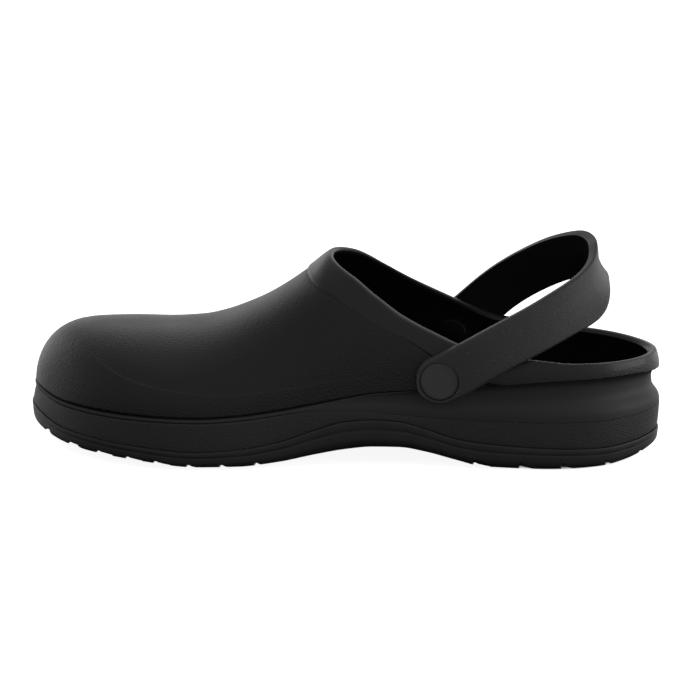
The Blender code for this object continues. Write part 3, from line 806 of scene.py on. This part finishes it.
# The toe guard: its height up the wall from the seam, and how much of its step is left
GUARD = table(
    "along rise share",
    (-141, 34.0, 0.0),
    (-122, 25.5, 0.4),
    (-104, 18.0, 0.8),
    (-85, 14.2, 1.0),
    (-60, 12.0, 0.8),
    (-26, 11.0, 0.4),
    (3, 9.5, 0.1),
    (18, 9.0, 0.0),
    (143, 3.0, 0.0),
)
vault, collar, guard = map(lines, (VAULT, COLLAR, GUARD))


def ridge_across(along):
    """The line from the toe's centre to the heel's, under the ridge of the vault."""
    return np.interp(along, (TOE_CENTRE[0], RIDGE_CENTRED), (TOE_CENTRE[1], HEEL_CENTRE[1]))


def fan_reach(points, centre, facing):
    """How far out points lie from a centre, as a share of the way to the outline."""
    spread = loop - centre
    angle = np.arctan2(spread[:, 1], facing * spread[:, 0])
    order = np.argsort(angle)
    away = points - centre
    radius = np.interp(
        np.arctan2(away[:, 1], facing * away[:, 0]),
        angle[order],
        np.linalg.norm(spread, axis=1)[order],
        period=2 * math.pi,
    )
    return np.linalg.norm(away, axis=1) / radius


def reach(points):
    """0 on the ridge and 1 on the outline, with round ends at the toe and the heel."""
    along, across = points.T
    middle = ridge_across(along)
    edge = np.where(across > middle, edge_across(along, True), edge_across(along, False))
    straight = np.abs(across - middle) / np.maximum(np.abs(edge - middle), 1e-6)
    toe_share = smoothstep(along, *TOE_BLEND)
    heel_share = smoothstep(along, *HEEL_BLEND)
    result = straight * (1 - toe_share - heel_share)
    result += toe_share * fan_reach(points, TOE_CENTRE, -1)
    result += heel_share * fan_reach(points, HEEL_CENTRE, 1)
    return np.clip(result, 0, 1)


def vault_height(points):
    """Height of the upper's outer face over points of the plan."""
    along = points[:, 0]
    ahead = smoothstep(along, TOE_CENTRE[0], TOE_CENTRE[0] - NOSE)
    full = vault["fullness"](along)
    power, root = (full + (nose - full) * ahead for nose in (TOE_FULLNESS, TOE_SLOPE))
    foot = side["seam"](along)
    return foot + (vault["ridge"](along) - foot) * (1 - reach(points) ** power) ** (1 / root)


def collar_curve(inner):
    """The collar's edge in plan, from the throat to the middle of the heel."""
    half = INNER_SIDE if inner else OUTER_SIDE
    along = THROAT + (HEEL_CENTRE[0] - THROAT) * np.linspace(0, 1, COLLAR_STEPS) ** 2
    edge = np.column_stack([along, edge_across(along, inner)])
    middle = np.column_stack([along, ridge_across(along)])
    round_heel = half[half[:, 0] > HEEL_CENTRE[0]]
    edge = np.vstack([edge, round_heel])
    middle = np.vstack([middle, np.tile(HEEL_CENTRE, (len(round_heel), 1))])
    power, foot = vault["fullness"](edge[:, 0]), side["seam"](edge[:, 0])
    height = collar["height"](edge[:, 0]) - (0 if inner else collar["drop"](edge[:, 0]))
    rise = (height - foot) / (vault["ridge"](edge[:, 0]) - foot)
    share = (1 - np.clip(rise, 0, 1) ** power) ** (1 / power)
    return middle + share[:, None] * (edge - middle)


def collar_ends(half_columns, inner):
    """The collar point of each column: square across at the heel, fanning out from the throat."""
    curve = collar_curve(inner)
    measure = lengths(curve)
    half = INNER_SIDE if inner else OUTER_SIDE
    total = lengths(half)[-1]
    back = total - np.interp(half_columns[:, 0], half[:, 0], lengths(half))
    away = measure[-1] * (1 - (1 - back / total) ** (total / measure[-1]))
    return resample(curve, measure, measure[-1] - away)


def unit(vectors):
    """The vectors' directions, each of length 1."""
    return vectors / np.linalg.norm(vectors, axis=-1, keepdims=True)


collar_plan = both_sides(collar_ends(outer_columns, False), collar_ends(inner_columns, True))
collar_along = collar_plan[:, 0]
wall = collar["wall"](collar_along)
climb = np.linspace(0, 1, CLIMB_STEPS) ** CLIMB_EASE
shell, up, down = [], [], []
for start, end in zip(SEAM_PLAN, collar_plan):
    plan = start + climb[:, None] * (end - start)
    path = np.column_stack([plan, vault_height(plan)])
    run = lengths(path)
    total = run[-1]
    low = min(float(guard["rise"](start[0])), GUARD_MOST * total)
    high = max(total - float(collar["band"](end[0])), CUFF_LEAST * total)
    slope = min(STEP_RUN, STEP_MOST * total)
    feather = min(FEATHER_RUN, FEATHER_MOST * (low - slope))
    bounds = (feather, low - slope, low + slope, high - 2 * slope, high + slope)
    stops = [feather * np.array(FEATHER_STOPS)]
    for below, above, count in zip(bounds, bounds[1:], WALL_RINGS):
        stops.append(np.linspace(below, above, count, endpoint=False))
    stops.append(np.linspace(bounds[-1], total, CUFF_RINGS))
    stops = np.concatenate(stops)
    shell.append(resample(path, run, stops))
    up.append(stops)
    down.append(total - stops)
shell, up, down = np.swapaxes(shell, 0, 1), np.transpose(up), np.transpose(down)
round_way = np.roll(shell, -1, axis=1) - np.roll(shell, 1, axis=1)
normal = unit(np.cross(round_way, np.gradient(shell, axis=0)))
if np.sum(normal[0, :, :2] * OUTWARD) < 0:
    normal = -normal

rise, width = guard["rise"](STATION), collar["band"](collar_along)
on_guard = smoothstep(up, rise + STEP_RUN, rise - STEP_RUN)
on_band = smoothstep(down, width + STEP_RUN, width - STEP_RUN)
crease = np.exp(-(((down - width - STEP_RUN) / CREASE_WIDTH) ** 2))
edge_round = np.interp(STATION, FEATHER_FADE, FEATHER_ROUND)
tucked = edge_round * (1 - np.sqrt(1 - np.clip(1 - up / edge_round, 0, 1) ** 2))
raised = GUARD_STEP * guard["share"](STATION) * on_guard - tucked
raised += collar["step"](collar_along) * (CUFF_STEP * on_band - CREASE * crease)
outer_face = shell + normal * raised[..., None]
inner_face = (shell - normal * wall[:, None])[::-1][::INSIDE_EVERY]
lower = np.where(SEAM_PLAN[:, 1] < 0, collar["drop"](collar_along), 0)
lip_rise = unit(shell[-1] - shell[-1 - LIP_BELOW]) * (LIP_HEIGHT + LIP_FULLER * lower)[:, None]
lip = []
for turn in np.radians(np.arange(LIP_TURN, 180, LIP_TURN)):
    edge = outer_face[-1] + (inner_face[0] - outer_face[-1]) * (turn / math.pi)
    lip.append(edge + lip_rise * math.sin(turn))
shell_rings = np.concatenate([outer_face, lip, inner_face])


def over_lip(start, end):
    """A value for each ring of the lip, from its outer edge to its inner one, within 0 and 1."""
    return np.linspace(start, end, len(lip)).clip(0, 1)[:, None]


def shell_mark(outside, on_lip, inside):
    """A mark over the shell's rings: its outer face, its lip and its inner face."""
    parts = ((outside, outer_face), (on_lip, lip), (inside, inner_face))
    return np.concatenate([np.broadcast_to(value, (len(face), COLUMNS)) for value, face in parts])


# Painted shade over the lip's inner half, fading out towards the heel
lip_painted_shade = over_lip(*LIP_DARKER) * smoothstep(collar_along, *DARKER_FADE)
# Painted highlight on the lip's top, paler where the lip lies lower
lip_painted_highlight = over_lip(*HIGHLIGHT_RISE) * np.clip(lower / HIGHLIGHT_DROP, 0, 1) * (1 - lip_painted_shade)
# Marks: painted shade on the inner face and the lip's inner half, a painted highlight on the lip's
# top
upper = piece_from(
    "upper_shell",
    shell_rings.reshape(-1, 3),
    loft_faces(len(shell_rings), COLUMNS),
    {
        "band": shell_mark(on_band, 1, 0),
        "inside": shell_mark(0, lip_painted_shade, 1),
        "rim": shell_mark(0, lip_painted_highlight, 0),
    },
)

leather_grain, place = new_finish("leather_grained_foam", Specular_IOR_Level=0.31)
banded, inside = place.mark("band"), place.mark("inside")
fine = place.cells(GRAIN_SIZE) + place.noise(PORE_SIZE) * PORE_SHARE
coarse = place.cells(CUFF_GRAIN) * CUFF_DEEPER + place.noise(CUFF_PORES) * PORE_SHARE
grain = fine * (1 - banded) + coarse * banded * CUFF_SHARE
mottle = place.noise(SHELL_MOTTLE, detail=4.0)
skin = mottle.spread(*MOTTLE_SHOWS).tint(SHELL, SHELL_PALE)
apply_finish(
    leather_grain,
    # Painted highlight: the lip's top painted paler
    Base_Color=place.mark("rim").tint(skin, RIM_PAINTED_HIGHLIGHT),
    Roughness=mottle.spread(*NOISE_SPAN, *SHELL_ROUGH),
    Coat_Weight=banded * CUFF_COAT,
    Normal=(grain * (1 - inside * INSIDE_SMOOTH)).bump(GRAIN_DEPTH, GRAIN_STRENGTH),
)
# Painted shade: a dull black on the inner face and the inner half of the lip
paint_shade_inside(leather_grain, inside, PAINTED_SHADE_INSIDE)
upper.data.materials.append(leather_grain)
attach(upper, "root")
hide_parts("upper")

# RIVETS
# Two plastic rivets hold the strap's ends: a flat cap sunk in the strap, its post through the
# wall, and a button pressed on the post inside the shoe.
LATERAL_RIVET = (46.5, 42.6)
MEDIAL_RIVET = (46.0, 44.8)
CAP_RADIUS = 8.65
CAP_THICK = 1.6
CAP_SUNK = 0.45
CAP_ROUND = 0.45
CAP_DISH = 0.06
DISH_WIDE = 1.4
POST_RADIUS = 4.0
BUTTON_RADIUS = 7.3
BUTTON_THICK = 2.6
BUTTON_EDGE = 0.2
BUTTON_ROUND = 1.2
BUTTON_TURN = ((0.0, 1.0), (0.16, 0.6), (0.5, 0.18), (1.0, 0.0))
SOCKET_DEPTH = 1.4
SEAT_PROUD = 0.5
SEAT_CLEAR = 0.5
CUT_BEYOND = 6.0
STRAP_CLEAR = 1.1
STRAP_THICK = 4.8
TURNED_STEPS = 96
CAP_PLASTIC = (0.045, 0.045, 0.0455, 1)
BUTTON_PLASTIC = (0.003, 0.003, 0.0034, 1)
PLASTIC_ROUGH = (0.48, 0.58)
PLASTIC_MOTTLE = 6.0
FROST_SIZE = 0.45
FROST_SHOWS = (0.3, 0.7)
FROST_PALER = 1.15
FROST_DEPTH = 0.025


def wall_across(along, height):
    """How far out the wall's outer face lies behind the throat, on the wider side of the foot."""
    foot, power = float(side["seam"](along)), float(vault["fullness"](along))
    share = (height - foot) / (float(vault["ridge"](along)) - foot)
    share = (1 - share**power) ** (1 / power)
    return share * max(abs(float(edge_across(along, inner))) for inner in (False, True))


RIVET_WALL = max(wall_across(*LATERAL_RIVET), wall_across(*MEDIAL_RIVET))
SEAT = RIVET_WALL - float(collar["wall"](LATERAL_RIVET[0])) - SEAT_PROUD
STRAP_FACE = RIVET_WALL + STRAP_CLEAR + STRAP_THICK
CAP_FACE = STRAP_FACE - CAP_SUNK


def turned(name, profile, at, outward):
    """A turned piece on a rivet's axis, from its profile of radius and height, top to bottom."""
    points, faces = [], []
    circles = [row for row in profile if row[0] > 0]
    for radius, height in circles:
        for k in range(TURNED_STEPS):
            turn = 2 * math.pi * k / TURNED_STEPS
            points.append((radius * math.cos(turn), radius * math.sin(turn), height))
    for i in range(len(circles) - 1):
        for k in range(TURNED_STEPS):
            n = (k + 1) % TURNED_STEPS
            low, high = i * TURNED_STEPS, (i + 1) * TURNED_STEPS
            faces.append((low + n, low + k, high + k, high + n))
    top, bottom = len(points), len(points) + 1
    points += [(0, 0, profile[0][1]), (0, 0, profile[-1][1])]
    last = (len(circles) - 1) * TURNED_STEPS
    for k in range(TURNED_STEPS):
        n = (k + 1) % TURNED_STEPS
        faces.append((top, k, n))
        faces.append((bottom, last + n, last + k))
    place = Matrix.Translation((at[0], 0, at[1])) @ Matrix.Rotation(-outward * math.pi / 2, 4, "X")
    return piece_from(name, [place @ Vector(point) for point in points], faces)


def plastic(name, colour, gloss):
    """Black plastic with a fine frosting from the mould."""
    material, place = new_finish(name, Specular_IOR_Level=gloss)
    frost = place.noise(FROST_SIZE, detail=3.0)
    mottle = place.noise(PLASTIC_MOTTLE, detail=3.0)
    apply_finish(
        material,
        Base_Color=frost.spread(*FROST_SHOWS).tint(colour, paler(colour, FROST_PALER)),
        Roughness=mottle.spread(*FROST_SHOWS, *PLASTIC_ROUGH),
        Normal=frost.bump(FROST_DEPTH),
    )
    return material


cap_plastic = plastic("satin_rivet_plastic", CAP_PLASTIC, gloss=0.45)
button_plastic = plastic("dull_button_plastic", BUTTON_PLASTIC, gloss=0.1)
cap_under, post_end = STRAP_FACE - CAP_THICK, SEAT - SOCKET_DEPTH
face = SEAT - GAP
back = face - BUTTON_THICK
half_round = CAP_ROUND * (1 - math.sqrt(0.5))
cap_edge = CAP_FACE - CAP_DISH
cap_profile = (
    (0, CAP_FACE),
    (CAP_RADIUS * 0.5, CAP_FACE),
    (CAP_RADIUS - DISH_WIDE, CAP_FACE - CAP_DISH / 2),
    (CAP_RADIUS - CAP_ROUND, cap_edge),
    (CAP_RADIUS - half_round, cap_edge - half_round),
    (CAP_RADIUS, cap_edge - CAP_ROUND),
    (CAP_RADIUS, cap_under),
    (POST_RADIUS, cap_under),
    (POST_RADIUS, post_end),
    (0, post_end),
)
button_profile = (
    (0, post_end - GAP),
    (POST_RADIUS + GAP, post_end - GAP),
    (POST_RADIUS + GAP, face),
    (BUTTON_RADIUS - BUTTON_EDGE, face),
    (BUTTON_RADIUS, face - BUTTON_EDGE),
    *((BUTTON_RADIUS - x * BUTTON_ROUND, back + z * BUTTON_ROUND) for x, z in BUTTON_TURN),
    (0, back),
)
clear_profile = (
    (0, CAP_FACE + CUT_BEYOND),
    (CAP_RADIUS + GAP, CAP_FACE + CUT_BEYOND),
    (CAP_RADIUS + GAP, cap_under - GAP),
    (POST_RADIUS + GAP, cap_under - GAP),
    (POST_RADIUS + GAP, SEAT),
    (BUTTON_RADIUS + SEAT_CLEAR, SEAT),
    (BUTTON_RADIUS + SEAT_CLEAR, SEAT - CUT_BEYOND),
    (0, SEAT - CUT_BEYOND),
)
RIVETS = ((-1, LATERAL_RIVET, "lateral"), (1, MEDIAL_RIVET, "medial"))
for outward, at, end in RIVETS:
    cap = turned(f"rivet_cap_{end}", cap_profile, at, outward)
    button = turned(f"rivet_button_{end}", button_profile, at, outward)
    for thing, node, finish in (
        (cap, f"rivet_outer_{end}", cap_plastic),
        (button, f"rivet_inner_{end}", button_plastic),
    ):
        thing.data.materials.append(finish)
        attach(thing, "root")
        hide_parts(node)
    cut_with(upper, turned(f"rivet_hole_{end}", clear_profile, at, outward))

# HEEL STRAP
# One band of moulded foam with rounded edges and a sandy face, hollowed where it turns behind the
# heel. It swings on its two rivets and here stands swung up, clear of the heel.
STRAP_WIDTH = 22.0
STRAP_EDGES_ROUND = {1: 1.4, -1: 0.6}
ROUND_MOST = 0.8
STRAP_TILT = 33.4
STRAP_TWIST = 6.0
STRAP_LEAN = 21.5
STRAP_REACH = 83.0
STRAP_STATIONS = 170
END_TURN = (4, 86)
END_STATIONS = 22
STRAP_CORNER = 7
STRAP_ROWS = 10
STRAP_FOAM = (0.034, 0.034, 0.0347, 1)
STRAP_ROUGH = (0.5, 0.58)
STRAP_MOTTLE = 16.0
# The strap's inner face: partly its own darker colour, partly painted shade where the loop hides it
STRAP_INNER_AND_SHADE = (0.009, 0.009, 0.0096, 1)
INSIDE_FROM = -0.45 * STRAP_THICK
SAND_SIZE = 0.5
SAND_CELLS = 0.7
CELLS_SHARE = 0.6
SAND_DEPTH = 0.2
SPECK = (0.1, 0.1, 0.1, 1)
SPECK_REACH = 0.14
SPECKS_APART = 1.8
SPECK_PATCH = 3.0
PATCH_FROM = 0.55

# The strap's two edges by distance along it from a rivet, above and below its middle line
STRAP_EDGES = table(
    "along above below",
    (-STRAP_WIDTH / 2, 11.0, 11.0),
    (5.0, 11.0, 11.0),
    (30.0, 11.8, 9.2),
    (60.0, 10.4, 11.1),
    (80.0, 8.4, 13.8),
    (94.0, 7.6, 12.4),
    (104.0, 8.2, 11.8),
)

# Half of the strap's loop, laid flat: along from the rivet, and across beyond the rivet
STRAP_PATH = table(
    "along across",
    (-40.0, 0.0),
    (-STRAP_WIDTH / 2, 0.0),
    (0.0, 0.0),
    (21.0, 1.2),
    (42.0, -1.9),
    (58.0, -7.6),
    (70.0, -14.4),
    (78.5, -22.7),
    (STRAP_REACH, -40.0),
)

# How far the strap hollows across its width where it turns behind the heel
STRAP_HOLLOW = table(
    "lift out",
    (-13.5, -0.6),
    (-10.0, -1.7),
    (-6.5, -2.4),
    (-3.0, -2.6),
    (0.5, -2.3),
    (4.5, -1.0),
    (8.2, 0.0),
)
HOLLOW_WITHIN = (40.0, 12.0)
strap_edges = lines(STRAP_EDGES)
strap_hollow = smooth_line(STRAP_HOLLOW, "out", "lift")


def strap_section(above, below):
    """Rounded rectangle of the strap: across its thickness and up its width."""
    half_thick = STRAP_THICK / 2
    points = []
    for quarter, (sign_out, up_to) in enumerate(
        ((1, above), (-1, above), (-1, -below), (1, -below))
    ):
        edge = min(STRAP_EDGES_ROUND[sign_out], above * ROUND_MOST)
        for turn in np.linspace(0, math.pi / 2, STRAP_CORNER):
            angle = turn + quarter * math.pi / 2
            out = sign_out * (half_thick - edge) + edge * math.cos(angle)
            points.append((out, up_to - math.copysign(edge, up_to) + edge * math.sin(angle)))
        if quarter in (1, 3):
            flat = np.linspace(above - edge, edge - below, STRAP_ROWS + 2)[1:-1]
            flat = flat if quarter == 1 else flat[::-1]
            points += [(sign_out * half_thick, lift) for lift in flat]
    return points


def cap_flat(start, count):
    """One face that closes a ring."""
    return [tuple(start + k for k in range(count))]


half = np.column_stack([STRAP_PATH["along"], STRAP_PATH["across"]])
half[:, 1] += STRAP_FACE - STRAP_THICK / 2
half[-1, 1] = 0
dense = smooth_loop(np.vstack([half * (1, -1), half[-2::-1]]))
path = dense[dense[:, 0] > -STRAP_WIDTH / 2]
run = lengths(path)
end = STRAP_WIDTH / 2
round_end = end * (1 - np.cos(np.radians(np.linspace(*END_TURN, END_STATIONS))))
middle = np.linspace(end, run[-1] - end, STRAP_STATIONS)
stops = np.concatenate([round_end, middle, run[-1] - round_end[::-1]])
centre = resample(path, run, stops)
heading = unit(np.gradient(centre, stops, axis=0))
away = np.minimum(stops, run[-1] - stops) - end
round_share = np.sqrt(1 - np.clip(-away / end, 0, 1) ** 2)
above, below = (strap_edges[name](away) * round_share for name in ("above", "below"))
middle_at = np.add(MEDIAL_RIVET, LATERAL_RIVET) / 2
half_apart = np.subtract(MEDIAL_RIVET, LATERAL_RIVET) / 2
strap_rings, inner_face_and_shade = [], []
for k, ((along, across), (forward, sideways)) in enumerate(zip(centre, heading)):
    tilt = math.radians(STRAP_TILT + STRAP_TWIST * across / STRAP_FACE)
    lean = math.radians(STRAP_LEAN)
    lean += (tilt - lean) * smoothstep(abs(across), 0, STRAP_FACE)
    pivot = middle_at + half_apart * across / STRAP_FACE
    hollow = smoothstep(abs(across), *HOLLOW_WITHIN)
    for out, lift in strap_section(above[k], below[k]):
        # The inner face takes the dull black, partly painted shade
        inner_face_and_shade.append(float(out < INSIDE_FROM))
        out += hollow * float(strap_hollow(lift))
        laid = along + sideways * out
        strap_rings.append(
            (
                pivot[0] + laid * math.cos(tilt) - lift * math.sin(lean),
                across - forward * out,
                pivot[1] + laid * math.sin(tilt) + lift * math.cos(lean),
            )
        )
strap = piece_from(
    "heel_strap_band",
    strap_rings,
    loft_faces(len(stops), len(strap_rings) // len(stops), cap_flat),
    {"inside": inner_face_and_shade},
)
for outward, at, end in RIVETS:
    cut_with(strap, turned(f"rivet_hole_{end}", clear_profile, at, outward))

sandy_foam, place = new_finish("sandy_strap_foam", Specular_IOR_Level=0.42)
sand = place.noise(SAND_SIZE, detail=3.0) + place.cells(SAND_CELLS) * CELLS_SHARE
specks = SPECK_REACH - place.cells(SPECKS_APART) > 0.0
patches = place.noise(SPECK_PATCH) > PATCH_FROM
mottle = place.noise(STRAP_MOTTLE, detail=4.0)
apply_finish(
    sandy_foam,
    Base_Color=(specks * patches).tint(STRAP_FOAM, SPECK),
    Roughness=mottle.spread(*NOISE_SPAN, *STRAP_ROUGH),
    Normal=sand.bump(SAND_DEPTH, GRAIN_STRENGTH),
)
# A dull black on the inner face: partly its own darker colour, partly painted shade
paint_shade_inside(sandy_foam, place.mark("inside"), STRAP_INNER_AND_SHADE)
strap.data.materials.append(sandy_foam)
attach(strap, "root")
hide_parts("heel_strap")

# STUDIO
# A pale floor in a light room: a wide softbox overhead, one behind the toe, and two behind and
# beyond the heel for its bright edges. The camera looks a little down on the shoe's outer side.
FLOOR_HALF = 7.0
FLOOR_PAINT = (0.94, 0.94, 0.94, 1)
FLOOR_GLOW = 0.95
# Painted contact shadow: black in the floor's glow where the tread rests, fading at the edge
CONTACT_SHADOW_PAINT = (0, 0, 0, 1)
CONTACT_SHADOW_EDGE = (0.8, 1.1)

# Where the tread rests on the floor, which doesn't glow there: middle along, half length and width
RESTS = ((93.0, 38.0, 33.0), (-60.0, 36.0, 37.0))

# Softboxes: name, place, width and height in metres, and power in watts
AIM = (0.0, 0.0, 0.04)
SOFTBOXES = (
    ("overhead", (0.0, 0.5, 1.8), (2.4, 1.6), 0.8),
    ("toe_end", (-1.1, 1.3, 0.3), (0.6, 0.9), 1.4),
    ("heel_edge", (1.1, 1.3, 0.3), (0.6, 0.9), 1.5),
    ("heel_end", (1.45, -0.15, 0.3), (1.2, 0.6), 6.0),
)

# Light of the room by direction: how it grows from the floor up and from toe to heel, and a glow
# on the wall behind the shoe, near the horizon
ROOM_RISE = (-0.65, 0.0)
ROOM_GLOW = 0.45
ROOM_ENDS = (-0.5, 0.5)
ENDS_GLOW = (0.88, 1.16)
WALL_BEHIND = (-0.1, 0.95)
WALL_GLOW = 0.65
WALL_LEVEL = (0.04, 0.25)

corners = ((-1, -1), (1, -1), (1, 1), (-1, 1))
floor_mesh = bpy.data.meshes.new("studio_floor")
floor_mesh.from_pydata(
    [(x * FLOOR_HALF, y * FLOOR_HALF, 0) for x, y in corners], [], [(0, 1, 2, 3)]
)
studio_floor = bpy.data.objects.new("studio_floor", floor_mesh)
bpy.context.scene.collection.objects.link(studio_floor)
floor_paint, place = new_finish(
    "floor_paint", Base_Color=FLOOR_PAINT, Roughness=0.9, Specular_IOR_Level=0.1,
    Emission_Strength=FLOOR_GLOW,
)
# Painted contact shadow: the floor's glow is taken away where the tread rests
painted_contact_shadow = 0.0
for middle, long, wide in RESTS:
    along = (place.part("X") - middle * MM) * (1 / (long * MM))
    across = place.part("Y") * (1 / (wide * MM))
    painted_contact_shadow = (along * along + across * across).spread(*CONTACT_SHADOW_EDGE, 1.0, 0.0) + painted_contact_shadow
apply_finish(floor_paint, Emission_Color=painted_contact_shadow.tint(FLOOR_PAINT, CONTACT_SHADOW_PAINT))
floor_mesh.materials.append(floor_paint)
studio_floor.visible_glossy = studio_floor.visible_diffuse = False

for name, at, size, power in SOFTBOXES:
    light = bpy.data.lights.new(name, "AREA")
    light.shape = "RECTANGLE"
    light.size, light.size_y = size
    light.energy = power
    lamp = bpy.data.objects.new(name, light)
    bpy.context.scene.collection.objects.link(lamp)
    lamp.location = at
    lamp.rotation_euler = (Vector(AIM) - Vector(at)).to_track_quat("-Z", "Y").to_euler()

world = bpy.data.worlds.new("studio")
world.use_nodes = True
backdrop = world.node_tree.nodes["Background"]
toward = Shade(world.node_tree.nodes.new("ShaderNodeTexCoord").outputs["Generated"])
to_heel, behind, above_floor = (toward.part(axis) for axis in "XYZ")
room = above_floor.spread(*ROOM_RISE, 0.0, ROOM_GLOW) * to_heel.spread(*ROOM_ENDS, *ENDS_GLOW)
near_level = (above_floor * above_floor).spread(*WALL_LEVEL, 1.0, 0.0)
glow = behind.spread(*WALL_BEHIND, 0.0, WALL_GLOW) * near_level + room
world.node_tree.links.new(glow.socket, backdrop.inputs["Strength"])
backdrop.inputs["Color"].default_value = (1, 1, 1, 1)
bpy.context.scene.world = world
bpy.context.scene.view_settings.view_transform = "Standard"

AZIMUTH, ELEVATION = math.radians(5), math.radians(15)
DISTANCE = 4.0
MM_PER_PIXEL = 0.4545
FRAME_PIXELS = 700
TARGET = Vector((0.0024, 0.0, 0.04466))
lens = bpy.data.cameras.new("camera")
lens.sensor_width = 36.0
lens.lens = lens.sensor_width * DISTANCE / (FRAME_PIXELS * MM_PER_PIXEL * MM)
camera = bpy.data.objects.new("camera", lens)
bpy.context.scene.collection.objects.link(camera)
stand_back = Vector(
    (
        math.sin(AZIMUTH) * math.cos(ELEVATION),
        -math.cos(AZIMUTH) * math.cos(ELEVATION),
        math.sin(ELEVATION),
    )
)
camera.location = TARGET + DISTANCE * stand_back
camera.rotation_euler = (-stand_back).to_track_quat("-Z", "Y").to_euler()
bpy.context.scene.camera = camera
